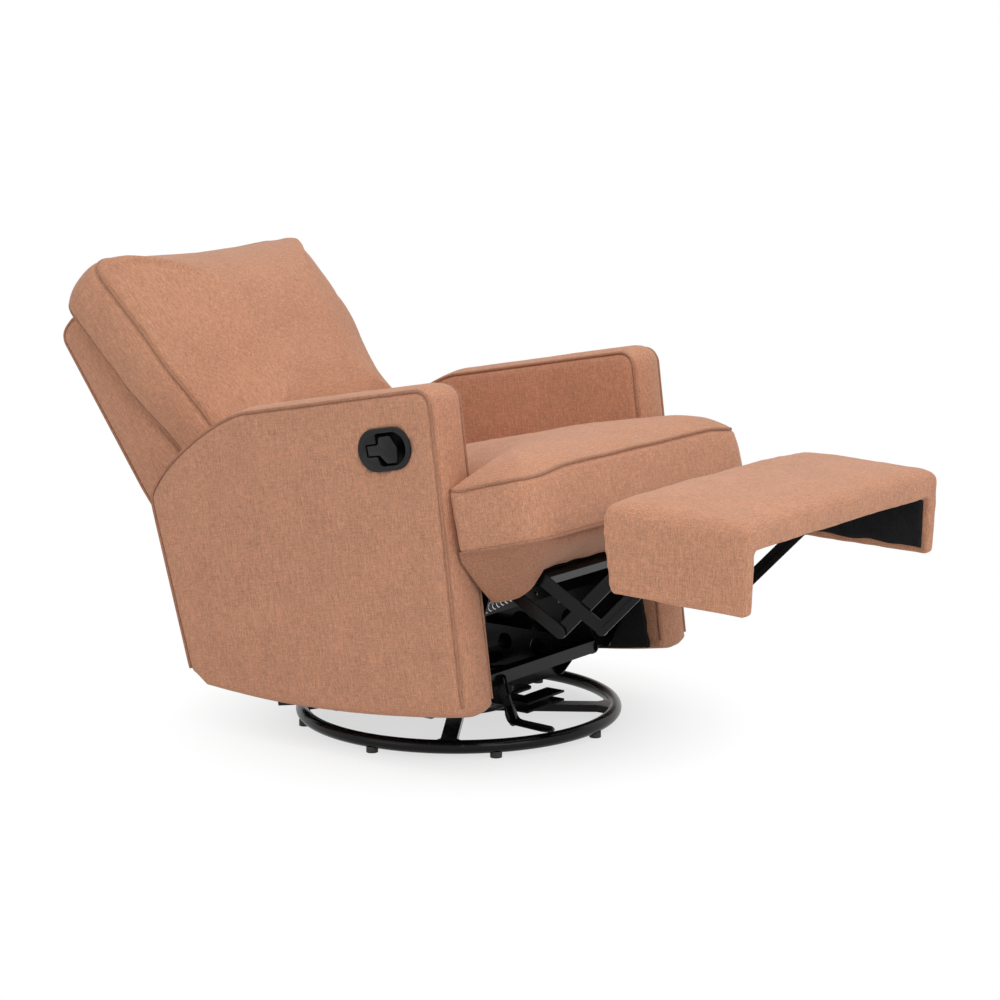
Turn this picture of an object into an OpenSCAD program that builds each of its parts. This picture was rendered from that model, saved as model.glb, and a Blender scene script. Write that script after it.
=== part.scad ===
// Swivel glider recliner, drawn opened: footrest out, back laid down, glide at its rear stop.
// Origin on the floor under the swivel axis. The sitter faces -Y, +Z is up, and the right arm is at -X.
// Everything above the glide is drawn in the seat's own frame (u forward, w up), which leans back by seat_tilt.

/* [Floor ring] */
// Radius of the floor ring, to the middle of its tube
ring_r = 300; // [280:5:320]
// Diameter of the ring's tube
ring_tube_d = 25.4; // [20:0.2:28]
// Height of the rubber pads under the ring
pad_h = 8.5; // [6:0.5:12]
// Width of each flat cross arm
cross_w = 30; // [24:1:40]
// Height of each flat cross arm
cross_h = 14; // [10:1:18]
// Turn of the cross arms from the chair's own axes
cross_turn = 33; // [20:1:50]

/* [Swivel] */
// Outer radius of the swivel bearing
swivel_r = 78; // [66:1:86]
// Diameter of the bearing balls
ball_d = 9; // [7:0.5:10]
// Width of the square plate on the swivel
swivel_plate_w = 210; // [196:2:230]

/* [Glide] */
// Distance between the upper glide pivots, front to rear
glide_top_span = 300; // [294:1:306]
// Distance between the lower glide pivots, front to rear
glide_low_span = 200; // [194:1:206]
// Height of the upper glide pivots above the floor
glide_top_z = 150; // [146:1:156]
// Length of the spacers that hold the glide rails inside the mechanism plates
spacer_len = 31.2; // [30:0.2:40]

/* [Seat body] */
// Lean of the seat body, opened
seat_tilt = 10.66; // [9.96:0.1:11.26]
// Overall width over the arms
chair_w = 732; // [726:2:780]
// Width of each arm
arm_w = 92; // [86:1:94]
// Height of the arm's top in the seat frame
arm_top_w = 629; // [616:1:650]
// Front of the arm's top in the seat frame
arm_front_u = 342; // [338:1:344]
// Distance from the seat frame's upright back to the arm's rear
arm_rear = 360; // [350:1:380]
// Lowest corner of the arm, at its front foot
arm_foot_w = 47; // [44:1:60]
// Radius of the arm's soft edges
arm_edge_r = 12; // [8:1:16]

/* [Seat cushion] */
// Reach of each front ear of the cushion over the arm's front
ear_reach = 53.6; // [46:0.2:55]
// Fore and aft length of the seat cushion
seat_len = 690; // [684:1:692]
// Height of the cushion's boxing
seat_box_h = 120; // [112:1:124]
// Crown of the cushion above its boxing
seat_crown = 52; // [20:1:58]

/* [Back] */
// Lean of the back from the seat frame's vertical, laid down
back_lean = 36; // [34:0.5:38]
// Gap between the back frame and each arm
back_side_gap = 8; // [6:0.5:16]
// Height of the back cushion along the back
back_cushion_h = 554; // [540:2:556]
// Thickness of the back cushion's boxing
back_box_t = 95; // [80:1:98]
// Crown of the back cushion
back_crown = 56; // [30:1:60]
// Thickness of the back frame at its top
back_frame_t = 66; // [56:1:76]
// Thickness of the back frame at its waist
back_waist_t = 130; // [120:1:136]

/* [Footrest] */
// Step in from the arm's outer face to the footrest's wing
foot_step = 35; // [26:1:36]
// Length of the footrest, front to rear
foot_len = 283; // [270:1:290]
// Thickness of the padded board
foot_pad_t = 42; // [38:1:43]
// Depth of the wings from the padded top
foot_wing_h = 150; // [140:1:152]
// Thickness of each wing
foot_wing_t = 24; // [20:1:25]

/* [Footrest linkage] */
// Thickness of the steel links
link_t = 3; // [2.6:0.1:3]
// Width of the steel links
link_w = 24; // [20:1:24]
// Diameter of the rivets
rivet_d = 8; // [6:0.5:9]
// Wire diameter of the return springs
spring_wire_d = 2.4; // [2:0.1:2.8]

/* [Handle] */
// Length of the oval bezel
bezel_len = 122; // [112:1:130]
// Height of the oval bezel
bezel_h = 84; // [80:1:92]

/* [Hidden] */
$fn = 48;

// Shared clearances
overrun = 1;
fit_gap = 0.3;
run_gap = 0.06;
soft_gap = 0.6;
bolt_head_t = 3;

// Floor ring and pads
tube_r = ring_tube_d / 2;
ring_z = pad_h + tube_r;
pad_count = 8;
pad_turn = 5;
pad_r = 11;
pad_grip = 3;
hub_r = 98;
hub_t = 4;
hub_z = ring_z + cross_h / 2;
gusset_len = 34;
gusset_w = 74;
bolt_r = 8;
bolt_head_r = 15;

// Swivel bearing, from the hub up
race_h = 8;
race_z = hub_z + hub_t;
race_gap = 0.5;
race_w = 26;
ball_count = 20;
ball_ring_r = swivel_r - race_w / 2;
ball_z = race_z + race_h + race_gap / 2;
upper_race_z = race_z + race_h + race_gap;
plate_t = 4;
plate_z = upper_race_z + race_h;
plate_corner_r = 18;

// Catch channel in front of the swivel plate, under the lock lever
catch_y = -205;
catch_w = 40;
catch_h = 20;
catch_low_x = -60;
catch_high_x = 60;
tongue_w = 70;

// Glide stands: a pair of plates on two cross tubes and a front rail
rail_side = 24;
rail_wall = 2;
rail_z = plate_z + plate_t;
rail_y = 78;
stand_t = 4;
stand_boss_r = 17;
stand_web_r = 15;
front_rail_drop = 28;
front_rail_out = 16;
pivot_r = 7;
rail_bolt_r = 6;

// Glide links between the stands and the seat's glide rails, in world places
glide_drop = 90;
glide_shift = 29.32;
glide_lift = 8.01;
glide_link_t = 4;
glide_link_r = 14;
glide_play = 3.4;
glide_gap = 0.6;
top_f = glide_top_span / 2;
low_mid_z = glide_top_z - glide_drop + glide_lift;
low_half_f = glide_low_span / 2 * cos(seat_tilt);
low_half_z = glide_low_span / 2 * sin(seat_tilt);
front_top = [-top_f, glide_top_z];
rear_top = [top_f, glide_top_z];
front_low = [glide_shift - low_half_f, low_mid_z + low_half_z];
rear_low = [glide_shift + low_half_f, low_mid_z - low_half_z];
front_rail = front_top + [-front_rail_out, -front_rail_drop];

// Lock lever, hung in a clevis from the front rail, in world places
lever_x = -108;
lever_plate_t = 5;
clevis_t = 3;
clevis_r = 9;
lever_hang = [-22, -27];
lever_top_run = [-9, 12];
lever_bend_run = [-19, -50];
lever_arm_r = 9;
lever_toe_r = 6;
lever_toe_rise = 9;
lever_pivot = front_rail + lever_hang;
lever_top = lever_pivot + lever_top_run;
lever_bend = lever_pivot + lever_bend_run;
lever_toe = [lever_toe_rise - ring_r, pad_h + ring_tube_d + lever_toe_rise];

// Seat frame: the middle of the two lower glide pivots sits at this place in it
carriage_u = -9.7;
carriage_w = 54.9;
seat_y = glide_shift + carriage_u * cos(seat_tilt) - carriage_w * sin(seat_tilt);
seat_z = low_mid_z - carriage_u * sin(seat_tilt) - carriage_w * cos(seat_tilt);

// Widths across the chair, worked inwards from the arms to the glide stands
arm_inner_x = chair_w / 2 - arm_w;
mech_t = 3;
mech_set = 22;
mech_x = arm_inner_x - mech_set - mech_t;
glide_rail_t = 4;
glide_rail_x = mech_x - fit_gap - spacer_len - fit_gap - glide_rail_t;
link_x = glide_rail_x - glide_gap - glide_link_t;
stand_x = link_x - glide_gap - stand_t;

// Glide rails, and the rails and spacers of the carriage
glide_rail_r = 14;
spacer_side = 22;
front_spacer = [184, 77];
rear_spacer = [-196, 78];
carriage_side = 26;
carriage_wall = 2.5;
carriage_w_high = 195;
carriage_front_u = 150;
carriage_rear_u = -130;

// Mechanism side plates
mech_low_w = 62;
mech_top_w = 240;
mech_rear_u = -222;
mech_neck_w = 44;
mech_front_u = 204;
mech_brow_u = 300;
mech_tab_u = 60;
mech_tab_len = 70;
mech_tab_w = 300;
window_r = 26;
window_w = 142;

// Seat box and cushion, which lean up to the front within the seat frame
cushion_lean = 3;
cushion_front_u = 518;
cushion_mid_u = cushion_front_u - seat_len / 2;
cushion_mid_w = 383;
cushion_neck_x = arm_inner_x - soft_gap;
cushion_front_r = 44;
cushion_rear_r = 12;
cushion_draw = 3;
swell_run = 140;
swell_power = 2.2;
deck_z = -seat_box_h / 2 - soft_gap;
seat_rail_x = mech_x + mech_t + fit_gap;
seat_rail_t = arm_inner_x - fit_gap - seat_rail_x;
seat_rail_h = 62;
board_h = 56;
seat_rail_front_u = 312;
seat_rail_rear_u = -170;
board_t = 20;
front_board_u = 290;
strap_t = 2.5;
strap_w = 50;
strap_count = 5;
strap_margin = 22.3;
strap_pitch = 2 * (seat_rail_x - strap_margin) / strap_count;

// Front apron: a lip under the cushion's overhang, and a skin that slopes down to the rear
apron_t = 12;
apron_lip_in = 5;
apron_lip_x = cushion_neck_x + ear_reach - apron_lip_in;
apron_lip_len = 176;
apron_lip_run = 115;
apron_lip_set = 6;
apron_top_u = 512;
apron_top_w = 323;
apron_slope = 26.57;
apron_top_in = 20;
apron_top_x = apron_lip_x - apron_top_in;
apron_centre_len = 80;
apron_taper_len = 178;
apron_leg_len = 231;
apron_leg_x = seat_rail_x + fit_gap;

// Back: drawn along its own lean from the pivot, s forward and v up the back
back_pivot_u = -200;
back_pivot_w = 330;
back_bracket_t = 4;
back_bracket_x = mech_x + mech_t + fit_gap;
back_bracket_r = 17;
back_pin_r = 6;
back_frame_w = 2 * (arm_inner_x - back_side_gap);
back_cushion_in = 2;
back_cushion_w = back_frame_w - 2 * back_cushion_in;
back_face_s = 12;
back_frame_top_v = 650;
back_frame_r = 26;
back_waist_v = 280;
back_foot_v = 60;
back_foot_s = -150;
slot_top_v = 210;
bracket_foot_s = -16;
back_cushion_mid_v = 395;
back_cushion_r = 46;
back_cushion_foot_r = 24;

// Footrest linkage in the seat frame, u forward and w up
main_pivot = [373, 316];
main_run = [132, -111];
carrier_run = [160, 109];
lever_len = 62;
main_tail = 52;
layer = link_t + glide_gap;
head_r = 7;
head_t = 2;
pivot_play = 0.3;
boss_r = 9;
main_dir = main_run / norm(main_run);
carrier_dir = carrier_run / norm(carrier_run);
front_knee = main_pivot + main_run;
rear_knee = front_knee - lever_len * carrier_dir;
control_pivot = rear_knee - main_run;
tail_knee = front_knee + main_tail * main_dir;
front_hang = front_knee + carrier_run;
rear_hang = front_hang + main_tail * main_dir;
torque_side = 20;
torque_wall = 2;
torque_reach = 78;

// Return springs, from a post on each mechanism plate to a post on each control link
spring_post_r = 4;
spring_post = [250, 205];
spring_reach = 60;
spring_coils = 9;
spring_r = 7;
spring_x = mech_x - 3 * layer - spring_r - spring_wire_d;
spring_post_x = spring_x + spring_r - spring_post_r;
spring_lead = 12;
spring_steps = 8;
spring_sides = 6;
spring_end = control_pivot + spring_reach * main_dir;

// Footrest board, in the seat frame
foot_w = chair_w - 2 * foot_step;
foot_rear = [648, 394];
foot_slope = -12.4;
foot_top_r = 16;
foot_corner_r = 26;
foot_edge_r = 14;
lining_t = 2;
lining_hem = 12;
hanger_w = 22;
hanger_r = 12;

// Handle on the right arm, in the seat frame
handle_u = 227;
handle_w = 530;
bezel_t = 3.5;
bezel_rim = 9;
pocket_depth = 30;
pocket_wall = 2.5;
lever_stem_h = 24;
lever_paddle_h = 44;
lever_paddle_len = 27;
lever_t = 5;
lever_set = 6;
lever_pin_r = 3;
lever_pin_set = 12;
lever_len_u = 67;

// Frames and small helpers

module in_seat() {
    translate([0, seat_y, seat_z])
        rotate([-seat_tilt, 0, 0])
            children();
}

module in_box() {
    in_seat()
        translate([0, -cushion_mid_u, cushion_mid_w])
            rotate([-cushion_lean, 0, 0])
                children();
}

module in_back() {
    in_seat()
        translate([0, -back_pivot_u, back_pivot_w])
            rotate([-back_lean, 0, 0])
                children();
}

module in_foot() {
    in_seat()
        translate([0, -foot_rear[0], foot_rear[1]])
            rotate([-foot_slope, 0, 0])
                children();
}

// Extrudes an outline drawn in (forward, up) across the chair, from x_low up to x_low + t
module across(x_low, t) {
    translate([x_low + t, 0, 0])
        rotate([90, 0, -90])
            linear_extrude(t)
                children();
}

// The same for an outline drawn in world (Y, Z)
module across_world(x_low, t) {
    translate([x_low, 0, 0])
        rotate([90, 0, 90])
            linear_extrude(t)
                children();
}

module both_sides() {
    children();
    mirror([1, 0, 0])
        children();
}

module disc(p, r) {
    translate(p)
        circle(r);
}

// A flat link outline between two points, with round ends
module link_outline(a, b, r) {
    d = b - a;
    translate(a)
        rotate(atan2(d[1], d[0])) {
            translate([0, -r])
                square([norm(d), 2 * r]);
            circle(r);
            translate([norm(d), 0])
                circle(r);
        }
}

// A box tube along X, w wide and h high, centred on (y, z)
module cross_tube(y, z, w, h, wall, half_x) {
    translate([-half_x, y - w / 2, z - h / 2])
        difference() {
            cube([2 * half_x, w, h]);
            translate([-overrun, wall, wall])
                cube([2 * half_x + 2 * overrun, w - 2 * wall, h - 2 * wall]);
        }
}

function arc(c, r, from, to, steps) = [for (i = [0:steps])
    let (a = from + (to - from) * i / steps)
    c + r * [cos(a), sin(a)]];

// Moves each point of a counter-clockwise outline inwards by d
function inset(pts, d) = let (n = len(pts)) [for (i = [0:n - 1])
    let (run = pts[(i + 1) % n] - pts[(i + n - 1) % n], t = run / norm(run))
    pts[i] + d * [-t[1], t[0]]];

// A solid through rings of points, each counter-clockwise about the way they are stacked, closed by a fan at each end
function ring_faces(n, m) = concat(
    [for (i = [0:n - 1]) [i, (i + 1) % n, n * m]],
    [for (j = [0:m - 2]) for (i = [0:n - 1])
        each [[j * n + i, (j + 1) * n + i, j * n + (i + 1) % n],
              [j * n + (i + 1) % n, (j + 1) * n + i, (j + 1) * n + (i + 1) % n]]],
    [for (i = [0:n - 1]) [(m - 1) * n + (i + 1) % n, (m - 1) * n + i, n * m + 1]]);
function middle(ring) = [for (k = [0:2]) (min([for (p = ring) p[k]]) + max([for (p = ring) p[k]])) / 2];

module ring_solid(rings) {
    points = concat([for (r = rings) each r], [middle(rings[0]), middle(rings[len(rings) - 1])]);
    polyhedron(points = points, faces = ring_faces(len(rings[0]), len(rings)));
}

// Cushion: cross sections from its front to its rear, with a swell that grows with the distance from its welt
top_steps = 12;
low_steps = 4;
function welt_distance(x, y, neck, ear, half, ear_end) = max(0,
    min(neck - abs(x), half - abs(y)),
    min(ear - abs(x), half + y, ear_end - y));
function swell(d, crown) = crown * (1 - pow(1 - min(d / swell_run, 1), swell_power));
function cushion_ring(y, hw, box, crown, draw, neck, ear, half, ear_end) = concat(
    [for (i = [0:top_steps])
        let (x = -hw * cos(180 * i / top_steps))
        [x, y, box / 2 + swell(welt_distance(x, y, neck, ear, half, ear_end), crown)]],
    [[hw - draw, y, 0]],
    [for (i = [0:low_steps]) [hw - 2 * hw * i / low_steps, y, -box / 2]],
    [[-hw + draw, y, 0]]);

module cushion(neck, ear, half, ear_end, front_r, rear_r, box, crown, draw) {
    corner_turns = [0, 22.5, 45, 67.5, 90];
    ear_shares = [0.3, 0.65, 1];
    neck_shares = [0.14, 0.34, 0.55, 0.75, 0.92];
    front = [for (a = corner_turns) [-half + front_r * (1 - cos(a)), ear - front_r * (1 - sin(a))]];
    ears = [for (k = ear_shares) [(1 - k) * (front_r - half) + k * (ear_end - 2 * overrun), ear]];
    necks = [for (k = neck_shares) [(1 - k) * ear_end + k * (half - rear_r), neck]];
    rear = [for (a = corner_turns) [half - rear_r * (1 - sin(a)), neck - rear_r * (1 - cos(a))]];
    stations = concat(front, ears, [[ear_end, neck]], necks, rear);
    ring_solid([for (s = stations)
        cushion_ring(s[0], s[1], box, crown, draw, neck, ear, half, ear_end)]);
}

// Floor ring

module floor_ring() {
    color("black")
        difference() {
            union() {
                translate([0, 0, ring_z])
                    rotate_extrude($fn = 96)
                        translate([ring_r, 0])
                            circle(tube_r);
                for (i = [0:3])
                    rotate(cross_turn + i * 90)
                        translate([0, 0, ring_z - cross_h / 2])
                            linear_extrude(cross_h)
                                polygon([[0, -cross_w / 2], [ring_r - gusset_len, -cross_w / 2],
                                         [ring_r, -gusset_w / 2], [ring_r, gusset_w / 2],
                                         [ring_r - gusset_len, cross_w / 2], [0, cross_w / 2]]);
                translate([0, 0, hub_z - overrun])
                    cylinder(r = hub_r, h = hub_t + overrun);
            }
            cylinder(r = bolt_r + fit_gap, h = race_z + overrun);
            cylinder(r = bolt_head_r + overrun, h = hub_z - overrun);
        }
}

module floor_pads() {
    color("dimgray")
        difference() {
            for (i = [0:pad_count - 1])
                rotate(pad_turn + i * 360 / pad_count)
                    translate([ring_r, 0, 0])
                        cylinder(r = pad_r, h = pad_h + pad_grip);
            translate([0, 0, ring_z])
                rotate_extrude($fn = 96)
                    translate([ring_r, 0])
                        circle(tube_r + run_gap);
        }
}

// Swivel bearing and its plate

module race(z) {
    difference() {
        translate([0, 0, z])
            cylinder(r = swivel_r, h = race_h);
        translate([0, 0, z - overrun])
            cylinder(r = swivel_r - race_w, h = race_h + 2 * overrun);
        translate([0, 0, ball_z])
            rotate_extrude()
                translate([ball_ring_r, 0])
                    circle(ball_d / 2 + run_gap);
    }
}

module swivel_lower_race() {
    color("silver")
        race(race_z);
}

module swivel_upper_race() {
    color("silver")
        race(upper_race_z);
}

module swivel_balls() {
    color("gainsboro")
        for (i = [0:ball_count - 1])
            rotate(i * 360 / ball_count)
                translate([ball_ring_r, 0, ball_z])
                    sphere(ball_d / 2);
}

module swivel_bolt() {
    bolt_low = hub_z - overrun - fit_gap - 2 * bolt_head_t;
    bolt_high = plate_z + plate_t + fit_gap;
    color("silver") {
        translate([0, 0, bolt_low])
            cylinder(r = bolt_head_r, h = 2 * bolt_head_t);
        translate([0, 0, bolt_low])
            cylinder(r = bolt_r, h = bolt_high - bolt_low + bolt_head_t);
        translate([0, 0, bolt_high])
            cylinder(r = bolt_head_r, h = 2 * bolt_head_t);
    }
}

module swivel_plate() {
    half = swivel_plate_w / 2;
    corner = half - plate_corner_r;
    color("black") {
        translate([0, 0, plate_z])
            linear_extrude(plate_t)
                difference() {
                    union() {
                        square([2 * corner, swivel_plate_w], center = true);
                        square([swivel_plate_w, 2 * corner], center = true);
                        for (x = [-corner, corner])
                            for (y = [-corner, corner])
                                disc([x, y], plate_corner_r);
                        translate([-tongue_w / 2, catch_y])
                            square([tongue_w, -catch_y]);
                    }
                    circle(bolt_r + run_gap);
                }
        translate([catch_low_x, catch_y, plate_z])
            difference() {
                cube([catch_high_x - catch_low_x, catch_w, catch_h]);
                translate([-overrun, -overrun, plate_t])
                    cube([catch_high_x - catch_low_x + 2 * overrun, catch_w - plate_t + overrun,
                          catch_h - 2 * plate_t]);
            }
    }
}

// Glide stands, their rails and the lock lever

module stand_outline() {
    foot_y = rail_y + rail_side / 2;
    foot_z = rail_z + stand_web_r;
    difference() {
        union() {
            link_outline([-foot_y, foot_z], front_top, stand_web_r);
            link_outline([foot_y, foot_z], rear_top, stand_web_r);
            link_outline([-foot_y, foot_z], [foot_y, foot_z], stand_web_r);
            link_outline(front_top, front_rail, stand_boss_r);
            disc(rear_top, stand_boss_r);
            polygon([[-foot_y, foot_z], [foot_y, foot_z], 0.8 * rear_top + 0.2 * [foot_y, foot_z],
                     0.8 * front_top + 0.2 * [-foot_y, foot_z]]);
        }
        for (y = [-rail_y / 2, rail_y / 2])
            disc([y, foot_z + 2 * stand_boss_r], stand_boss_r);
    }
}

module glide_stands() {
    color("black")
        both_sides() {
            across_world(stand_x, stand_t)
                stand_outline();
            across_world(stand_x, stand_t + glide_gap + glide_link_t)
                for (p = [front_top, rear_top])
                    disc(p, pivot_r);
            across_world(stand_x + stand_t, bolt_head_t)
                disc(front_rail, rail_bolt_r);
        }
}

module stand_rails() {
    half_x = stand_x - fit_gap;
    color("black")
        difference() {
            union() {
                for (y = [-rail_y, rail_y])
                    cross_tube(y, rail_z + rail_side / 2, rail_side, rail_side, rail_wall, half_x);
                cross_tube(front_rail[0], front_rail[1], rail_side, rail_side, rail_wall, half_x);
                for (s = [-1, 1])
                    across_world(lever_x + s * (lever_plate_t / 2 + fit_gap + clevis_t / 2) - clevis_t / 2, clevis_t)
                        link_outline(front_rail + [-rail_side / 2 - rail_wall, -rail_wall], lever_pivot, clevis_r);
            }
            translate([-half_x - overrun, front_rail[0] - rail_side / 2 + rail_wall,
                       front_rail[1] - rail_side / 2 + rail_wall])
                cube([2 * half_x + 2 * overrun, rail_side - 2 * rail_wall, rail_side - 2 * rail_wall]);
            across_world(lever_x - 2 * lever_plate_t, 4 * lever_plate_t)
                disc(lever_pivot, rivet_d / 2 + run_gap);
        }
}

module lock_lever() {
    pin_half = lever_plate_t / 2 + fit_gap + clevis_t;
    color("dimgray") {
        across_world(lever_x - lever_plate_t / 2, lever_plate_t) {
            link_outline(lever_top, lever_pivot, lever_arm_r);
            link_outline(lever_pivot, lever_bend, lever_arm_r);
            link_outline(lever_bend, lever_toe, lever_toe_r);
        }
        across_world(lever_x - pin_half, 2 * pin_half)
            disc(lever_pivot, rivet_d / 2);
    }
}

// Glide links and the carriage of the seat

module glide_link(top, low, low_r) {
    across_world(link_x, glide_link_t)
        difference() {
            union() {
                link_outline(top, low, glide_link_r);
                disc(top, glide_link_r);
            }
            disc(top, pivot_r + run_gap);
            disc(low, low_r);
        }
}

module front_glide_links() {
    color("black")
        both_sides()
            glide_link(front_top, front_low, pivot_r + run_gap);
}

module rear_glide_links() {
    color("black")
        both_sides()
            glide_link(rear_top, rear_low, pivot_r + glide_play);
}

module glide_rails() {
    mid = [carriage_u, carriage_w];
    reach = [glide_low_span / 2, 0];
    color("black")
        in_seat()
            both_sides() {
                across(glide_rail_x, glide_rail_t) {
                    link_outline(mid - reach, mid + reach, glide_rail_r);
                    link_outline(mid + reach, front_spacer, glide_rail_r);
                    link_outline(rear_spacer, mid - reach, glide_rail_r);
                }
                across(link_x, glide_rail_t + glide_gap + glide_link_t)
                    for (p = [mid - reach, mid + reach])
                        disc(p, pivot_r);
            }
}

module carriage_rails() {
    low_x = glide_rail_x + glide_rail_t + fit_gap;
    color("black")
        in_seat() {
            for (u = [carriage_front_u, carriage_rear_u])
                cross_tube(-u, carriage_w_high, carriage_side, carriage_side, carriage_wall, mech_x - fit_gap);
            both_sides()
                for (p = [front_spacer, rear_spacer])
                    translate([low_x, -p[0] - spacer_side / 2, p[1] - spacer_side / 2])
                        cube([mech_x - fit_gap - low_x, spacer_side, spacer_side]);
        }
}

module mechanism_plate_outline() {
    brow = [mech_brow_u - boss_r, mech_top_w - 2 * boss_r];
    difference() {
        union() {
            polygon([[mech_rear_u, mech_low_w], [mech_front_u, mech_low_w], [mech_brow_u, mech_top_w - mech_neck_w],
                     [mech_brow_u, mech_top_w], [mech_rear_u, mech_top_w]]);
            translate([mech_rear_u, mech_top_w - overrun])
                square([mech_neck_w, back_pivot_w - mech_top_w + overrun]);
            disc([back_pivot_u, back_pivot_w], mech_neck_w / 2);
            translate([mech_tab_u, mech_top_w - overrun])
                square([mech_tab_len, mech_tab_w - mech_top_w + overrun]);
            link_outline(brow, control_pivot, link_w / 2 + mech_t);
            link_outline(control_pivot, main_pivot, link_w / 2 + mech_t);
        }
        for (u = [mech_rear_u + 4 * window_r, 0, mech_front_u - 3 * window_r])
            disc([u, window_w - window_r], window_r);
    }
}

module mechanism_plates() {
    inner = mech_x - 2 * layer;
    color("black")
        in_seat()
            both_sides() {
                across(mech_x, mech_t)
                    mechanism_plate_outline();
                across(mech_x - layer + fit_gap, layer)
                    for (p = [main_pivot, control_pivot])
                        disc(p, boss_r);
                across(inner, 2 * layer + mech_t)
                    for (p = [main_pivot, control_pivot])
                        disc(p, rivet_d / 2);
                across(inner - head_t + glide_gap - fit_gap, head_t)
                    for (p = [main_pivot, control_pivot])
                        disc(p, head_r);
                across(mech_x, mech_t + fit_gap + back_bracket_t + fit_gap)
                    disc([back_pivot_u, back_pivot_w], back_pin_r);
                across(spring_post_x, mech_x - spring_post_x + overrun)
                    disc(spring_post, spring_post_r);
            }
}

// Seat box

module seat_side_rails() {
    color("burlywood")
        in_box()
            both_sides()
                translate([seat_rail_x, cushion_mid_u - seat_rail_front_u, deck_z - seat_rail_h])
                    cube([seat_rail_t, seat_rail_front_u - seat_rail_rear_u, seat_rail_h]);
}

module seat_cross_boards() {
    top = deck_z - strap_t - fit_gap;
    half_x = seat_rail_x - fit_gap;
    color("burlywood")
        in_box()
            for (u = [front_board_u, seat_rail_rear_u + board_t])
                translate([-half_x, cushion_mid_u - u, top - board_h])
                    cube([2 * half_x, board_t, board_h]);
}

module seat_webbing() {
    color("dimgray")
        in_box()
            for (i = [0:strap_count - 1])
                translate([(i - (strap_count - 1) / 2) * strap_pitch - strap_w / 2,
                           cushion_mid_u - front_board_u, deck_z - strap_t])
                    cube([strap_w, front_board_u - seat_rail_rear_u, strap_t]);
}

module front_apron() {
    half_top = [apron_top_x, 0];
    color("darksalmon") {
        in_box()
            translate([0, -seat_len / 2 + apron_lip_set, deck_z - apron_t])
                linear_extrude(apron_t)
                    difference() {
                        translate([-apron_lip_x, 0])
                            square([2 * apron_lip_x, apron_lip_len]);
                        translate([-apron_leg_x, apron_lip_run])
                            square([2 * apron_leg_x, apron_lip_len]);
                    }
        in_seat()
            translate([0, -apron_top_u, apron_top_w])
                rotate([-apron_slope, 0, 0])
                    linear_extrude(apron_t)
                        polygon([-half_top, half_top, [cushion_neck_x, apron_taper_len],
                                 [cushion_neck_x, apron_leg_len], [apron_leg_x, apron_leg_len],
                                 [apron_leg_x, apron_centre_len], [-apron_leg_x, apron_centre_len],
                                 [-apron_leg_x, apron_leg_len], [-cushion_neck_x, apron_leg_len],
                                 [-cushion_neck_x, apron_taper_len]]);
    }
}

// The cushion's ears end just ahead of the arms' leaning front edge
module seat_cushion() {
    edge_low = arm_foot_w + arm_foot_r;
    edge_share = (cushion_mid_w + seat_box_h / 2 + arm_foot_r - edge_low) / (arm_top_w - arm_brow_r - edge_low);
    edge_u = arm_foot_u + (arm_front_u - arm_foot_u) * edge_share;
    lean_back = seat_box_h / 2 * sin(cushion_lean);
    color("salmon")
        in_box()
            cushion(cushion_neck_x, cushion_neck_x + ear_reach, seat_len / 2,
                    (cushion_mid_u - edge_u - lean_back - soft_gap) / cos(cushion_lean),
                    cushion_front_r, cushion_rear_r, seat_box_h, seat_crown, cushion_draw);
}

// Arms: one upholstered form, with soft edges round its two flat faces

arm_foot_u = 312;
arm_foot_r = 10;
arm_brow_r = 30;
arm_heel = [-322, 154];
arm_heel_r = 20;
arm_hip_u = -331;
arm_hip_w = 168;
arm_waist_w = 470;
arm_crest = [-98, 490];
crest_power = 2 / 1.4;
belly_steps = 9;
crest_steps = 12;
belly_rise = arm_heel[1] - arm_heel_r - arm_foot_w;
function belly(u) = arm_foot_w + belly_rise * pow((arm_foot_u - u) / (arm_foot_u - arm_heel[0]), 2);
arm_outline = concat(
    arc([arm_foot_u - arm_foot_r, arm_foot_w + arm_foot_r], arm_foot_r, -90, 0, 3),
    arc([arm_front_u - arm_brow_r, arm_top_w - arm_brow_r], arm_brow_r, 0, 90, 5),
    [for (i = [0:crest_steps])
        let (a = 90 - 90 * i / crest_steps)
        [arm_crest[0] - (arm_rear + arm_crest[0]) * pow(cos(a), crest_power),
         arm_crest[1] + (arm_top_w - arm_crest[1]) * pow(sin(a), crest_power)]],
    [[-arm_rear, arm_waist_w]],
    arc([arm_hip_u + arm_heel_r, arm_hip_w], arm_heel_r, 180, 250, 4),
    [for (i = [1:belly_steps - 1])
        let (u = arm_heel[0] + (arm_foot_u - arm_heel[0]) * i / belly_steps)
        [u, belly(u)]]);

module arm() {
    edge_turns = [0, 30, 60, 90];
    levels = concat([for (a = edge_turns) [arm_edge_r * (1 - cos(a)), arm_edge_r * (1 - sin(a))]],
                    [for (a = edge_turns) [arm_w - arm_edge_r * (1 - sin(a)), arm_edge_r * (1 - cos(a))]]);
    n = len(arm_outline);
    ring_solid([for (i = [len(levels) - 1:-1:0])
        let (l = levels[i], edge = inset(arm_outline, l[1]))
        [for (j = [n - 1:-1:0]) [-arm_inner_x - l[0], -edge[j][0], edge[j][1]]]]);
}

// An oval outline about the middle of the handle
module oval(len, h) {
    run = len / 2 - h / 2;
    translate([handle_u, handle_w]) {
        square([2 * run, h], center = true);
        for (u = [-run, run])
            disc([u, 0], h / 2);
    }
}

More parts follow.
